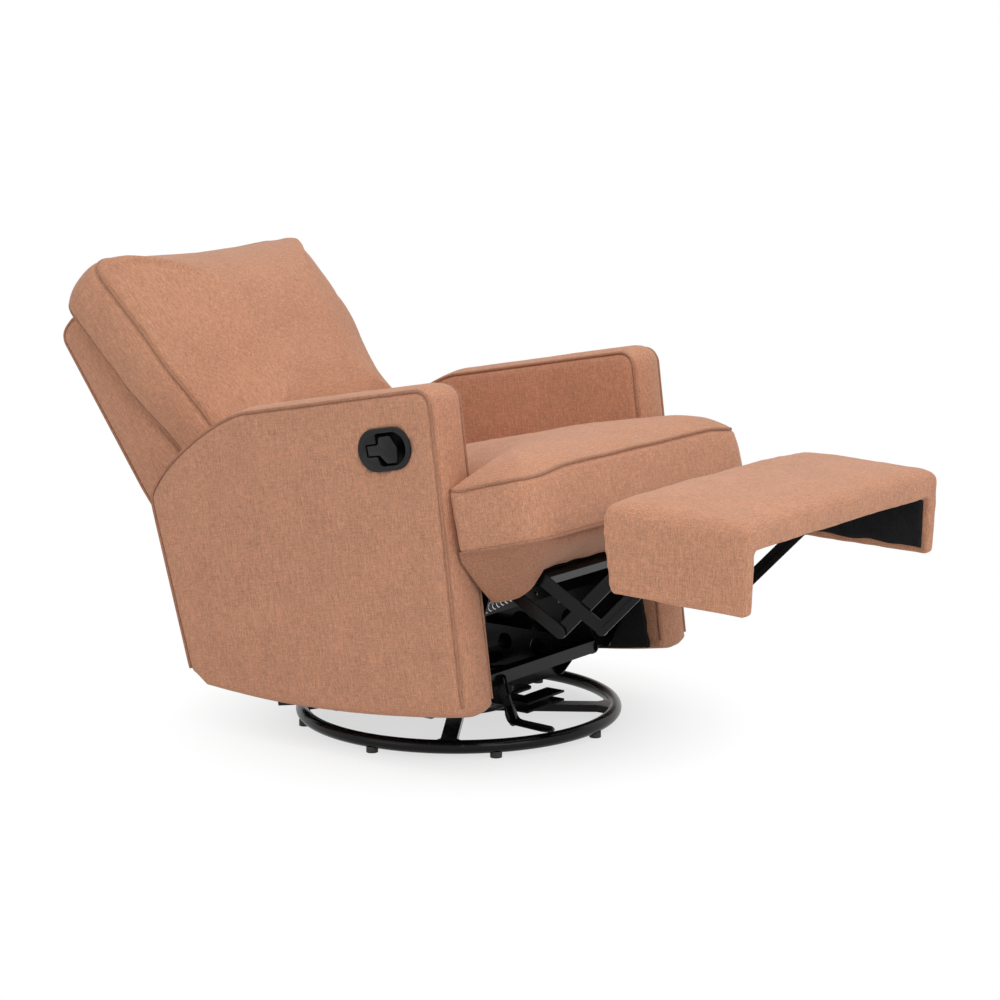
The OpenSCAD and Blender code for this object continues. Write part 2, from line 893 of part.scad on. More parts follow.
module arm_right() {
    hole_len = bezel_len - 2 * bezel_rim + 2 * pocket_wall + 2 * fit_gap;
    hole_h = bezel_h - 2 * bezel_rim + 2 * pocket_wall + 2 * fit_gap;
    depth = pocket_depth + pocket_wall + fit_gap;
    color("salmon")
        in_seat()
            difference() {
                arm();
                across(-chair_w / 2 - overrun, depth + overrun)
                    oval(hole_len, hole_h);
            }
}

module arm_left() {
    color("salmon")
        in_seat()
            mirror([1, 0, 0])
                arm();
}

module handle_bezel() {
    face_x = -chair_w / 2 - fit_gap;
    in_len = bezel_len - 2 * bezel_rim;
    in_h = bezel_h - 2 * bezel_rim;
    color("black")
        in_seat()
            difference() {
                union() {
                    across(face_x - bezel_t, bezel_t)
                        oval(bezel_len, bezel_h);
                    across(face_x - overrun, pocket_depth + pocket_wall + overrun)
                        oval(in_len + 2 * pocket_wall, in_h + 2 * pocket_wall);
                }
                across(face_x - bezel_t - overrun, pocket_depth + bezel_t + overrun)
                    oval(in_len, in_h);
            }
}

module handle_lever() {
    in_len = bezel_len - 2 * bezel_rim;
    in_h = bezel_h - 2 * bezel_rim;
    stem_u = handle_u - in_len / 2 + lever_pin_set;
    x_low = -chair_w / 2 - bezel_t + lever_set;
    reach = lever_len_u - lever_pin_set;
    color("dimgray")
        in_seat() {
            across(x_low, lever_t) {
                translate([stem_u, handle_w - lever_stem_h / 2])
                    square([reach - lever_paddle_len + overrun, lever_stem_h]);
                translate([stem_u + reach - lever_paddle_len, handle_w - lever_paddle_h / 2])
                    square([lever_paddle_len, lever_paddle_h]);
            }
            translate([x_low + lever_t / 2, -stem_u, handle_w - in_h / 2 + 4 * lever_pin_r])
                cylinder(r = lever_pin_r + lever_t / 4, h = in_h - 8 * lever_pin_r);
        }
}

// Back: brackets, frame and cushion

module back_brackets() {
    color("black")
        in_back()
            both_sides()
                across(back_bracket_x, back_bracket_t)
                    difference() {
                        union() {
                            disc([0, 0], back_bracket_r);
                            polygon([[-back_bracket_r, 0], [back_bracket_r, 0],
                                     [back_face_s - soft_gap - overrun, back_foot_v],
                                     [back_face_s - soft_gap - overrun, slot_top_v - fit_gap],
                                     [back_face_s - 2 * back_bracket_r, slot_top_v - fit_gap],
                                     [bracket_foot_s - back_bracket_r, back_foot_v]]);
                        }
                        disc([0, 0], back_pin_r + run_gap);
                    }
}

module back_frame_outline() {
    top_v = back_frame_top_v - back_frame_r;
    polygon([[back_face_s - overrun, back_foot_v], [back_face_s, back_foot_v + overrun], [back_face_s, top_v],
             [back_face_s - back_frame_t, top_v], [back_face_s - back_waist_t, back_waist_v],
             [back_foot_s, back_foot_v]]);
    disc([back_face_s - back_frame_r, top_v], back_frame_r);
    disc([back_face_s - back_frame_t + back_frame_r, top_v], back_frame_r);
    translate([back_face_s - back_frame_t + back_frame_r, top_v - overrun])
        square([back_frame_t - 2 * back_frame_r, back_frame_r + overrun]);
}

module back_frame() {
    color("salmon")
        in_back()
            difference() {
                across(-back_frame_w / 2, back_frame_w)
                    back_frame_outline();
                both_sides()
                    across(back_bracket_x - fit_gap, back_bracket_t + 2 * fit_gap)
                        translate([back_foot_s - overrun, back_foot_v - overrun])
                            square([-back_foot_s + back_face_s - soft_gap, slot_top_v - back_foot_v + overrun]);
            }
}

module back_cushion() {
    color("salmon")
        in_back()
            translate([0, -back_face_s - soft_gap - back_box_t / 2, back_cushion_mid_v])
                rotate([-90, 0, 180])
                    cushion(back_cushion_w / 2, back_cushion_w / 2, back_cushion_h / 2, 0, back_cushion_r,
                            back_cushion_foot_r, back_box_t, back_crown, cushion_draw);
}

// Footrest linkage: two parallelograms on each side, in three layers inside the mechanism plates

function layer_x(i) = mech_x - (i + 1) * layer + glide_gap / 2;

module rivet(p, from_x, to_x, r) {
    across(from_x, to_x - from_x)
        disc(p, r);
}

module main_links() {
    x = layer_x(1);
    color("black")
        in_seat()
            both_sides() {
                across(x, link_t)
                    difference() {
                        link_outline(main_pivot, tail_knee, link_w / 2);
                        disc(main_pivot, rivet_d / 2 + run_gap);
                    }
                rivet(front_knee, layer_x(2) - fit_gap, x + overrun, rivet_d / 2);
                rivet(front_knee, layer_x(2) - fit_gap - head_t, layer_x(2) - fit_gap, head_r);
                rivet(tail_knee, x, layer_x(0) + link_t, rivet_d / 2);
            }
}

module control_links() {
    x = layer_x(1);
    color("black")
        in_seat()
            both_sides() {
                across(x, link_t)
                    difference() {
                        link_outline(control_pivot, rear_knee, link_w / 2);
                        disc(control_pivot, rivet_d / 2 + run_gap);
                    }
                rivet(rear_knee, layer_x(2) - fit_gap, x + overrun, rivet_d / 2);
                rivet(rear_knee, layer_x(2) - fit_gap - head_t, layer_x(2) - fit_gap, head_r);
                rivet(spring_end, spring_post_x, x + overrun, spring_post_r);
            }
}

module front_links() {
    color("black")
        in_seat()
            both_sides()
                across(layer_x(2), link_t)
                    difference() {
                        link_outline(rear_knee, front_hang, link_w / 2);
                        disc(rear_knee, rivet_d / 2 + pivot_play);
                        disc(front_knee, rivet_d / 2 + run_gap);
                        disc(front_hang, rivet_d / 2 + run_gap);
                    }
}

module carrier_links() {
    color("black")
        in_seat()
            both_sides()
                across(layer_x(0), link_t)
                    difference() {
                        link_outline(tail_knee, rear_hang, link_w / 2);
                        disc(tail_knee, rivet_d / 2 + run_gap);
                        disc(rear_hang, rivet_d / 2 + pivot_play);
                    }
}

module footrest_brackets() {
    x = layer_x(1);
    along = [cos(foot_slope), sin(foot_slope)];
    up = [-along[1], along[0]];
    ceiling = -foot_pad_t - fit_gap - lining_t - fit_gap - mech_t;
    rise = ceiling - (front_hang - foot_rear) * up;
    top_front = front_hang + rise * up;
    top_rear = rear_hang + (ceiling - (rear_hang - foot_rear) * up) * up;
    color("black")
        in_seat()
            both_sides() {
                across(x, link_t) {
                    link_outline(front_hang, rear_hang, hanger_r);
                    polygon([front_hang + hanger_r * along, front_hang - hanger_r * along,
                             top_front - hanger_r * along, top_rear + hanger_r * along,
                             rear_hang + hanger_r * along]);
                }
                across(x + link_t - hanger_w, hanger_w)
                    polygon([top_front - 2 * hanger_r * along, top_rear + 2 * hanger_r * along,
                             top_rear + 2 * hanger_r * along + mech_t * up,
                             top_front - 2 * hanger_r * along + mech_t * up]);
                rivet(front_hang, layer_x(2) - fit_gap, x + overrun, rivet_d / 2);
                rivet(front_hang, layer_x(2) - fit_gap - head_t, layer_x(2) - fit_gap, head_r);
                rivet(rear_hang, x, layer_x(0) + link_t + fit_gap, rivet_d / 2);
                rivet(rear_hang, layer_x(0) + link_t + fit_gap, layer_x(0) + link_t + fit_gap + head_t, head_r);
            }
}

module torque_tube() {
    centre = main_pivot + torque_reach * main_dir;
    half_x = layer_x(1) - fit_gap;
    color("black")
        in_seat()
            translate([0, -centre[0], centre[1]])
                rotate([-atan2(main_dir[1], main_dir[0]), 0, 0])
                    cross_tube(0, 0, torque_side, torque_side, torque_wall, half_x);
}

// Return spring: one wire, wound along the line between its two posts

spring_span = norm(spring_end - spring_post);
spring_body = spring_span - 2 * spring_post_r - 2 * spring_lead;
spring_total = spring_coils * spring_steps;
function coil_point(i) =
    let (a = 360 * i / spring_steps)
    [spring_post_r + spring_lead + spring_body * i / spring_total, spring_r * cos(a), spring_r * sin(a)];
spring_path = concat([[spring_post_r + fit_gap, spring_r, 0]],
    [for (i = [0:spring_total]) coil_point(i)],
    [[spring_span - spring_post_r - fit_gap, spring_r, 0]]);
spring_self_gap = min([for (i = [0:spring_total - spring_steps])
    norm(coil_point(i + spring_steps) - coil_point(i))]) - spring_wire_d;
function wire_ring(i) =
    let (n = len(spring_path), run = spring_path[min(i + 1, n - 1)] - spring_path[max(i - 1, 0)],
         t = i == 0 || i == n - 1 ? [1, 0, 0] : run / norm(run),
         side = cross(t, [0, 0, 1]), a = side / norm(side), b = cross(t, a))
    [for (k = [0:spring_sides - 1])
        let (turn = 360 * k / spring_sides)
        spring_path[i] + spring_wire_d / 2 * (a * cos(turn) + b * sin(turn))];

module footrest_springs() {
    run = spring_end - spring_post;
    echo(spring_self_gap = spring_self_gap);
    color("silver")
        in_seat()
            both_sides()
                translate([spring_x, -spring_post[0], spring_post[1]])
                    rotate([-atan2(run[1], run[0]), 0, 0])
                        rotate([0, 0, -90])
                            ring_solid([for (i = [0:len(spring_path) - 1]) wire_ring(i)]);
}

// Footrest board: a padded top with a wing at each end, and its black lining

module footrest_board() {
    half = foot_w / 2;
    color("salmon")
        in_foot()
            intersection() {
                translate([0, overrun, 0])
                    rotate([90, 0, 0])
                        linear_extrude(foot_len + 2 * overrun)
                            union() {
                                for (s = [-1, 1]) {
                                    disc([s * (half - foot_top_r), -foot_top_r], foot_top_r);
                                    translate([s * (half - foot_wing_t / 2), -foot_top_r - foot_wing_h / 2])
                                        square([foot_wing_t, foot_wing_h], center = true);
                                }
                                translate([-half + foot_top_r, -foot_pad_t])
                                    square([foot_w - 2 * foot_top_r, foot_pad_t]);
                                translate([-half, -foot_pad_t])
                                    square([foot_w, foot_pad_t - foot_top_r]);
                            }
                across(-half - overrun, foot_w + 2 * overrun) {
                    for (u = [foot_edge_r, foot_len - foot_edge_r])
                        disc([u, -foot_edge_r], foot_edge_r);
                    for (u = [foot_corner_r, foot_len - foot_corner_r])
                        disc([u, foot_corner_r - foot_wing_h], foot_corner_r);
                    translate([foot_edge_r, -foot_wing_h / 2])
                        square([foot_len - 2 * foot_edge_r, foot_wing_h / 2]);
                    translate([0, foot_corner_r - foot_wing_h])
                        square([foot_len, foot_wing_h - foot_corner_r - foot_edge_r]);
                    translate([foot_corner_r, -foot_wing_h])
                        square([foot_len - 2 * foot_corner_r, foot_wing_h / 2]);
                }
            }
}

module footrest_lining() {
    wing_in = foot_w / 2 - foot_wing_t - fit_gap;
    low = -foot_wing_h + foot_corner_r + lining_hem;
    color("black")
        in_foot()
            translate([0, -lining_hem, 0])
                rotate([90, 0, 0])
                    linear_extrude(foot_len - 2 * lining_hem)
                        difference() {
                            translate([-wing_in, low])
                                square([2 * wing_in, -low - foot_pad_t - fit_gap]);
                            translate([-wing_in + lining_t, low - overrun])
                                square([2 * wing_in - 2 * lining_t, -low - foot_pad_t - fit_gap - lining_t + overrun]);
                        }
}

floor_ring();
floor_pads();
swivel_lower_race();
swivel_balls();
swivel_upper_race();
swivel_bolt();
swivel_plate();
glide_stands();
stand_rails();
lock_lever();
front_glide_links();
rear_glide_links();
glide_rails();
carriage_rails();
mechanism_plates();
seat_side_rails();
seat_cross_boards();
seat_webbing();
front_apron();
arm_right();
arm_left();
handle_bezel();
handle_lever();
seat_cushion();
back_brackets();
back_frame();
back_cushion();
main_links();
control_links();
front_links();
carrier_links();
footrest_brackets();
torque_tube();
footrest_springs();
footrest_board();
footrest_lining();
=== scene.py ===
# Looks for the swivel glider recliner: upholstery, welts, black steel, plastic, camera and light.
# All sizes are metres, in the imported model's frame: the floor under the swivel axis, sitter facing -Y.

import math

import bmesh
import bpy
import numpy as np
from mathutils import Matrix, Vector, bvhtree, kdtree, noise


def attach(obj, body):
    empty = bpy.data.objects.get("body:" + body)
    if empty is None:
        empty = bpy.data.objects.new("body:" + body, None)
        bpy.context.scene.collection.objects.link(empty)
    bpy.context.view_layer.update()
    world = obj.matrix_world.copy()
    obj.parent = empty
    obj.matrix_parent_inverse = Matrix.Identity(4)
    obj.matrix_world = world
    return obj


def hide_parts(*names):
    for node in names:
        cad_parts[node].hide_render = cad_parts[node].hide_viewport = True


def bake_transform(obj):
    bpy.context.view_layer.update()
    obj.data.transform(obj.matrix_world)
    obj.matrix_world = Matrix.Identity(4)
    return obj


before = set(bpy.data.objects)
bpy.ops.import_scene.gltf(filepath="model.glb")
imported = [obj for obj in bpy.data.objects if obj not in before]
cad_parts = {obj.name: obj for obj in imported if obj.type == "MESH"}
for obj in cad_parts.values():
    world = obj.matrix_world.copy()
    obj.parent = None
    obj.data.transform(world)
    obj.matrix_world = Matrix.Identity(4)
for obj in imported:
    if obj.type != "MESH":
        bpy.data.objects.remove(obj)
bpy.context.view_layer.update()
scene = bpy.context.scene

# Places shared by several pieces: the seat body leans back, and its parts are drawn (x, -forward, up) in it
seatBody = {"y": 0.009632, "z": 0.015852, "lean": 10.66}
seatPlace = (Matrix.Translation((0, seatBody["y"], seatBody["z"]))
             @ Matrix.Rotation(math.radians(-seatBody["lean"]), 4, "X"))


def inSeat(forward, up, lean=0.0):
    return (seatPlace @ Matrix.Translation((0, -forward, up))
            @ Matrix.Rotation(math.radians(-lean), 4, "X"))


# Shader helpers: Value wraps a socket so that it takes part in Python maths, Paint holds one material
class Value:
    def __init__(self, paint, socket):
        self.paint, self.socket = paint, socket

    def maths(self, operation, *others):
        return self.paint.add("ShaderNodeMath", {"operation": operation}, self, *others)

    def __add__(self, other):
        return self.maths("ADD", other)

    def __sub__(self, other):
        return self.maths("SUBTRACT", other)

    def __mul__(self, other):
        return self.maths("MULTIPLY", other)

    def __rsub__(self, other):
        return self.paint.add("ShaderNodeMath", {"operation": "SUBTRACT"}, other, self)

    __radd__, __rmul__ = __add__, __mul__

    def clamped(self):
        return self.paint.add("ShaderNodeClamp", None, self)

    def above(self, edge, width):
        return ((self - edge) * (1 / width)).clamped()


class Paint:
    def __init__(self, name, world=None):
        owner = world or bpy.data.materials.new(name)
        owner.use_nodes = True
        self.material, self.tree = owner, owner.node_tree
        self.tree.nodes.clear()
        end = self.tree.nodes.new("ShaderNodeOutputWorld" if world else "ShaderNodeOutputMaterial")
        self.output = end.inputs[0]
        if not world:
            self.shader = self.tree.nodes.new("ShaderNodeBsdfPrincipled")
            self.tree.links.new(self.shader.outputs[0], self.output)

    def feed(self, socket, value):
        if isinstance(value, Value):
            self.tree.links.new(value.socket, socket)
        else:
            socket.default_value = value

    def add(self, kind, settings=None, *values, out=0, sockets=None):
        node = self.tree.nodes.new(kind)
        for key, value in (settings or {}).items():
            setattr(node, key, value)
        for index, value in enumerate(values):
            self.feed(node.inputs[index], value)
        for key, value in (sockets or {}).items():
            self.feed(node.inputs[key], value)
        return Value(self, node.outputs[out])

    def place(self, lean=0.0):
        # object coordinates in metres, turned back so that a leaning piece's own directions are straight
        spot = self.add("ShaderNodeTexCoord", out=3)
        return self.add("ShaderNodeMapping", None, spot, (0, 0, 0), (math.radians(lean), 0, 0))

    def grain(self, place, size, detail=2.0):
        # noise whose lumps are about size metres wide; a tuple gives one width per axis
        sizes = size if isinstance(size, tuple) else (size, size, size)
        scaled = self.add("ShaderNodeVectorMath", {"operation": "MULTIPLY"}, place, tuple(1 / s for s in sizes))
        return self.add("ShaderNodeTexNoise", None, sockets={"Vector": scaled, "Scale": 1.0, "Detail": detail})

    def threads(self, place, thin, long):
        # threads along each of the three directions, so that every panel shows two of them crossing
        sets = [self.grain(place, tuple(long if axis == k else thin for axis in range(3)), 1.0)
                for k in range(3)]
        return sets[0] * 0.28 + sets[1] * 0.28 + sets[2] * 0.44

    def mixed(self, factor, first, second):
        return self.add("ShaderNodeMix", {"data_type": "RGBA"}, out=2, sockets={0: factor, 6: first, 7: second})

    def bump(self, height, distance, strength=1.0):
        return self.add("ShaderNodeBump", None, sockets={"Height": height, "Distance": distance,
                                                         "Strength": strength})

    def surface(self, **sockets):
        for key, value in sockets.items():
            self.feed(self.shader.inputs[key.replace("_", " ")], value)
        return self.material

    def seenStraight(self):
        # 1 for rays that show the studio itself, 0 for those that light the object
        rays = [self.add("ShaderNodeLightPath", out=kind + " Ray")
                for kind in ("Is Camera", "Is Glossy", "Is Transmission")]
        return (rays[0] + rays[1] + rays[2]).clamped()

    def shown(self, factor, first, second):
        blend = self.add("ShaderNodeMixShader", None, factor, first, second)
        self.tree.links.new(blend.socket, self.output)


def rgba(colour, gain=1.0):
    return tuple(min(1.0, c * gain) for c in colour) + (1.0,)


# Finishes: the linen's sizes are thread width and length in metres
linen = {
    "colour": (0.562, 0.276, 0.169),
    "dark": 0.67, "light": 1.29,
    "thread": (0.0010, 0.0050),
    "slub": (0.0016, 0.019),
    "cloud": 0.075,
    "bump": 0.0006,
    "sheen": 0.20,
}


# gain makes lighter and darker copies of the one linen: above 1 is painted light, below 1 is painted shade
def wovenFabric(name, lean, gain=1.0):
    paint = Paint(name)
    place = paint.place(lean)
    fine = paint.threads(place, *linen["thread"])
    slub = paint.threads(place, *linen["slub"])
    cloud = paint.grain(place, linen["cloud"])
    tone = ((fine - 0.5) * 2.4 + (slub - 0.5) * 2.6 + (cloud - 0.5) * 0.30 + 0.5).clamped()
    colour = paint.mixed(tone, rgba(linen["colour"], gain * linen["dark"]),
                         rgba(linen["colour"], gain * linen["light"]))
    height = fine * 0.75 + slub * 0.45
    return paint.surface(Base_Color=colour, Roughness=0.92, Normal=paint.bump(height, linen["bump"], 0.9),
                         Sheen_Weight=linen["sheen"], Sheen_Roughness=0.45, Sheen_Tint=(1.0, 0.90, 0.82, 1.0),
                         Specular_IOR_Level=0.25)


def paintedSteel(name, colour, roughness):
    paint = Paint(name)
    place = paint.place()
    orange = paint.grain(place, 0.0016)
    cloud = paint.grain(place, 0.06)
    scuff = paint.grain(place, (0.018, 0.0012, 0.006), 3.0).above(0.66, 0.08)
    base = paint.mixed(scuff * 0.18, rgba(colour), (0.10, 0.097, 0.094, 1.0))
    return paint.surface(Base_Color=base, Roughness=cloud * 0.16 + (roughness - 0.08) + scuff * 0.12,
                         Normal=paint.bump(orange, 0.00004, 0.4), Specular_IOR_Level=0.16, Coat_Weight=0.06,
                         Coat_Roughness=0.10)


def bareSteel(name, colour, roughness):
    paint = Paint(name)
    place = paint.place()
    brushed = paint.grain(place, (0.0004, 0.004, 0.0004))
    dull = paint.grain(place, 0.012)
    base = paint.mixed(dull, rgba(colour, 0.8), rgba(colour, 1.1))
    return paint.surface(Base_Color=base, Metallic=1.0, Normal=paint.bump(brushed, 0.00004, 0.4),
                         Roughness=brushed * 0.14 + dull * 0.1 + (roughness - 0.1))


def mouldedPlastic(name, colour, roughness):
    paint = Paint(name)
    place = paint.place()
    leather = paint.grain(place, 0.0009, 3.0)
    rub = paint.grain(place, 0.014).above(0.55, 0.2)
    base = paint.mixed(rub * 0.3, rgba(colour), rgba(colour, 1.7))
    return paint.surface(Base_Color=base, Roughness=roughness + rub * 0.08 - leather * 0.06,
                         Normal=paint.bump(leather, 0.00012, 0.8), Specular_IOR_Level=0.28)


def sawnWood(name):
    paint = Paint(name)
    place = paint.place(seatBody["lean"])
    rings = paint.grain(place, (0.030, 0.16, 0.0035), 4.0)
    pores = paint.grain(place, (0.002, 0.02, 0.0006))
    base = paint.mixed((rings * 1.6 - 0.3).clamped(), (0.42, 0.27, 0.14, 1.0), (0.66, 0.48, 0.29, 1.0))
    return paint.surface(Base_Color=base, Roughness=0.72, Normal=paint.bump(pores, 0.0002, 0.7))


def blackCloth(name, colour, thread):
    paint = Paint(name)
    place = paint.place(seatBody["lean"])
    weave = paint.threads(place, thread, thread * 7)
    cloud = paint.grain(place, 0.03)
    tone = (weave * 2.4 - 0.7 + (cloud - 0.5) * 0.6).clamped()
    base = paint.mixed(tone, rgba(colour, 0.6), rgba(colour, 1.7))
    return paint.surface(Base_Color=base, Roughness=0.9, Normal=paint.bump(weave, 0.0004, 0.8),
                         Specular_IOR_Level=0.2)


def stripedWebbing(name):
    paint = Paint(name)
    place = paint.place(seatBody["lean"])
    across = paint.add("ShaderNodeSeparateXYZ", None, place)
    stripe = (across * 420).maths("SINE").above(0.55, 0.2)
    weave = paint.threads(place, 0.0012, 0.006)
    base = paint.mixed(stripe, rgba((0.035, 0.035, 0.036)), rgba((0.20, 0.19, 0.18)))
    return paint.surface(Base_Color=base, Roughness=0.85, Normal=paint.bump(weave, 0.0005, 0.9))


def mouldedRubber(name):
    paint = Paint(name)
    place = paint.place()
    bloom = paint.grain(place, 0.008)
    base = paint.mixed(bloom, (0.018, 0.018, 0.018, 1.0), (0.045, 0.044, 0.043, 1.0))
    return paint.surface(Base_Color=base, Roughness=bloom * 0.2 + 0.6,
                         Normal=paint.bump(paint.grain(place, 0.0008), 0.0001, 0.6))


backLean = seatBody["lean"] + 36.0
boxLean = seatBody["lean"] + 3.0
finishes = {
    "woven_fabric": wovenFabric("woven fabric", seatBody["lean"]),
    # the seat cushion's copy is lightened by 1.02: painted light, for its top lit from above
    "cushion_fabric": wovenFabric("cushion fabric with painted light", boxLean, 1.02),
    # the footrest's copy is lightened by 1.04: painted light, a painted sheen on its top
    "footrest_fabric": wovenFabric("footrest fabric with painted light", seatBody["lean"] - 12.4, 1.04),
    "back_fabric": wovenFabric("back fabric", backLean, 1.0),
    # the apron's copy is darkened to 0.78: painted shade, for the shade under the seat cushion
    "skirt_fabric": wovenFabric("skirt fabric with painted shade", seatBody["lean"], 0.78),
    # the welts' copy is darkened to 0.74: painted shade, for the shadow line beside each welt
    "piping": wovenFabric("welt piping with painted shade", seatBody["lean"], 0.74),
    "black_frame": paintedSteel("black powder coat", (0.0030, 0.0030, 0.0034), 0.24),
    "black_links": paintedSteel("black pressed steel", (0.0040, 0.0040, 0.0046), 0.28),
    "bearing_steel": bareSteel("zinc plated steel", (0.56, 0.56, 0.57), 0.36),
    "ball_steel": bareSteel("polished balls", (0.70, 0.70, 0.71), 0.18),
    "spring_steel": bareSteel("spring wire", (0.62, 0.62, 0.63), 0.28),
    "handle_plastic": mouldedPlastic("handle plastic", (0.0050, 0.0054, 0.0062), 0.40),
    "seat_wood": sawnWood("sawn wood"),
    "seat_webbing": stripedWebbing("elastic webbing"),
    "rivet_steel": bareSteel("blackened rivets", (0.10, 0.10, 0.105), 0.34),
    "red_plastic": mouldedPlastic("red spacers", (0.62, 0.015, 0.012), 0.38),
    "floor_rubber": mouldedRubber("moulded rubber"),
    "black_lining": blackCloth("black lining", (0.014, 0.014, 0.015), 0.0013),
}
print("made", len(finishes), "finishes")


# Mesh helpers
def newPiece(name, points, faces, finish, body, smooth=True):
    mesh = bpy.data.meshes.new(name)
    mesh.from_pydata([tuple(p) for p in points], [], faces)
    piece = bpy.data.objects.new(name, mesh)
    scene.collection.objects.link(piece)
    dress(piece, finish)
    tidyNormals(mesh)
    if smooth:
        mesh.shade_smooth()
    piece["rideBody"] = body
    return piece


def dress(piece, finish):
    piece.data.materials.clear()
    piece.data.materials.append(finishes[finish])


def tidyNormals(mesh):
    shell = bmesh.new()
    shell.from_mesh(mesh)
    bmesh.ops.remove_doubles(shell, verts=shell.verts, dist=1e-6)
    bmesh.ops.recalc_face_normals(shell, faces=shell.faces)
    shell.to_mesh(mesh)
    shell.free()


def applied(piece):
    # turns the piece's modifiers into its own mesh
    graph = bpy.context.evaluated_depsgraph_get()
    mesh = bpy.data.meshes.new_from_object(piece.evaluated_get(graph))
    piece.modifiers.clear()
    piece.data = mesh
    mesh.shade_smooth()
    return piece


def withModifier(piece, kind, **settings):
    step = piece.modifiers.new(kind.lower(), kind)
    for key, value in settings.items():
        setattr(step, key, value)
    return piece


def modified(piece, kind, **settings):
    return applied(withModifier(piece, kind, **settings))


def cut(piece, tool, operation="DIFFERENCE"):
    modified(piece, "BOOLEAN", operation=operation, object=tool, solver="EXACT")
    bpy.data.objects.remove(tool)


def remeshed(piece, voxel, rounds):
    piece = modified(piece, "REMESH", mode="VOXEL", voxel_size=voxel, use_smooth_shade=True)
    return modified(piece, "SMOOTH", factor=0.5, iterations=rounds)


def spots(piece):
    co = np.empty(len(piece.data.vertices) * 3)
    piece.data.vertices.foreach_get("co", co)
    return co.reshape(-1, 3)


def setSpots(piece, co):
    piece.data.vertices.foreach_set("co", np.asarray(co, float).ravel())
    piece.data.update()


def normalsOf(piece):
    normals = np.empty(len(piece.data.vertices) * 3)
    piece.data.vertices.foreach_get("normal", normals)
    return normals.reshape(-1, 3)


def arc(centre, radius, start, end, steps):
    angles = np.radians(np.linspace(start, end, steps + 1))
    return [(centre[0] + radius * math.cos(a), centre[1] + radius * math.sin(a)) for a in angles]


def evenly(points, step, closed=True):
    # the same path with points about step apart
    path = np.array(list(points) + ([points[0]] if closed else []), float)
    lengths = np.concatenate([[0], np.cumsum(np.linalg.norm(np.diff(path, axis=0), axis=1))])
    count = max(3, int(round(lengths[-1] / step)))
    at = np.linspace(0, lengths[-1], count + 1)[:count if closed else count + 1]
    return np.stack([np.interp(at, lengths, path[:, k]) for k in range(path.shape[1])], axis=1)


def inward(outline):
    # unit vectors into a counter-clockwise outline
    run = np.roll(outline, -1, 0) - np.roll(outline, 1, 0)
    run /= np.linalg.norm(run, axis=1)[:, None]
    return np.stack([-run[:, 1], run[:, 0]], axis=1)


def sweep(points, radius, closed=True, sides=8):
    # a tube of round section along a path, as points and faces
    points = np.array(points, float)
    count = len(points)
    ahead = np.roll(points, -1, 0) - np.roll(points, 1, 0)
    if not closed:
        ahead[0], ahead[-1] = points[1] - points[0], points[-1] - points[-2]
    ahead /= np.linalg.norm(ahead, axis=1)[:, None]
    side = np.cross(ahead[0], (0.31, 0.52, 0.79))
    rings = []
    for i in range(count):
        side = side - (side @ ahead[i]) * ahead[i]
        side /= np.linalg.norm(side)
        other = np.cross(ahead[i], side)
        for k in range(sides):
            turn = 2 * math.pi * k / sides
            rings.append(points[i] + radius * (math.cos(turn) * side + math.sin(turn) * other))
    faces = []
    for i in range(count if closed else count - 1):
        a, b = i * sides, (i + 1) % count * sides
        faces += [(a + k, a + (k + 1) % sides, b + (k + 1) % sides, b + k) for k in range(sides)]
    if not closed:
        faces += [tuple(range(sides))[::-1], tuple((count - 1) * sides + k for k in range(sides))]
    return rings, faces


def tubes(name, paths, radius, finish, body, closed=True, sides=8):
    points, faces = [], []
    for path in paths:
        more, sideFaces = sweep(path, radius, closed, sides)
        faces += [tuple(i + len(points) for i in face) for face in sideFaces]
        points += more
    return newPiece(name, points, faces, finish, body)


def rumple(piece, *rumples):
    # slow unevenness along the normals, as stuffing and pulled cloth have: (amount, size, seed) each
    for amount, size, seed in rumples:
        co, normals = spots(piece), normalsOf(piece)
        shift = [noise.noise(Vector(p) / size + Vector((seed, 0, 0))) for p in co]
        setSpots(piece, co + normals * (amount * np.array(shift))[:, None])


def distanceTo(co, paths):
    line = np.concatenate([evenly(p, 0.004) for p in paths])
    tree = kdtree.KDTree(len(line))
    for i, p in enumerate(line):
        tree.insert(p, i)
    tree.balance()
    return np.array([tree.find(p)[2] for p in co])


def crease(piece, paths, depth, width):
    # draws the surface in along the welts
    co, normals = spots(piece), normalsOf(piece)
    gap = distanceTo(co, paths)
    setSpots(piece, co - normals * (depth * np.exp(-(gap / width) ** 2))[:, None])


def forms(name, rings, finish, body):
    # a closed form through equal rings of points, with a fan at each end
    count, points = len(rings[0]), [p for ring in rings for p in ring]
    points += [np.mean(rings[0], axis=0), np.mean(rings[-1], axis=0)]
    faces = [(i, (i + 1) % count, len(points) - 2)[::-1] for i in range(count)]
    for j in range(len(rings) - 1):
        a, b = j * count, (j + 1) * count
        faces += [(a + i, a + (i + 1) % count, b + (i + 1) % count, b + i) for i in range(count)]
    last = (len(rings) - 1) * count
    faces += [(last + i, last + (i + 1) % count, len(points) - 1) for i in range(count)]
    return newPiece(name, points, faces, finish, body)


def slab(name, outline, low, high, spot, finish, body):
    # an outline (a, b) run from low to high; spot(t, a, b) turns each into a point
    points = [spot(t, a, b) for t in (low, high) for a, b in outline]
    count = len(outline)
    faces = [tuple(range(count)), tuple(range(count, 2 * count))]
    faces += [(i, (i + 1) % count, count + (i + 1) % count, count + i) for i in range(count)]
    return newPiece(name, points, faces, finish, body, smooth=False)


def gridFaces(columns, rows):
    wide = columns + 1
    return [(j * wide + i, j * wide + i + 1, (j + 1) * wide + i + 1, (j + 1) * wide + i)
            for j in range(rows) for i in range(columns)]


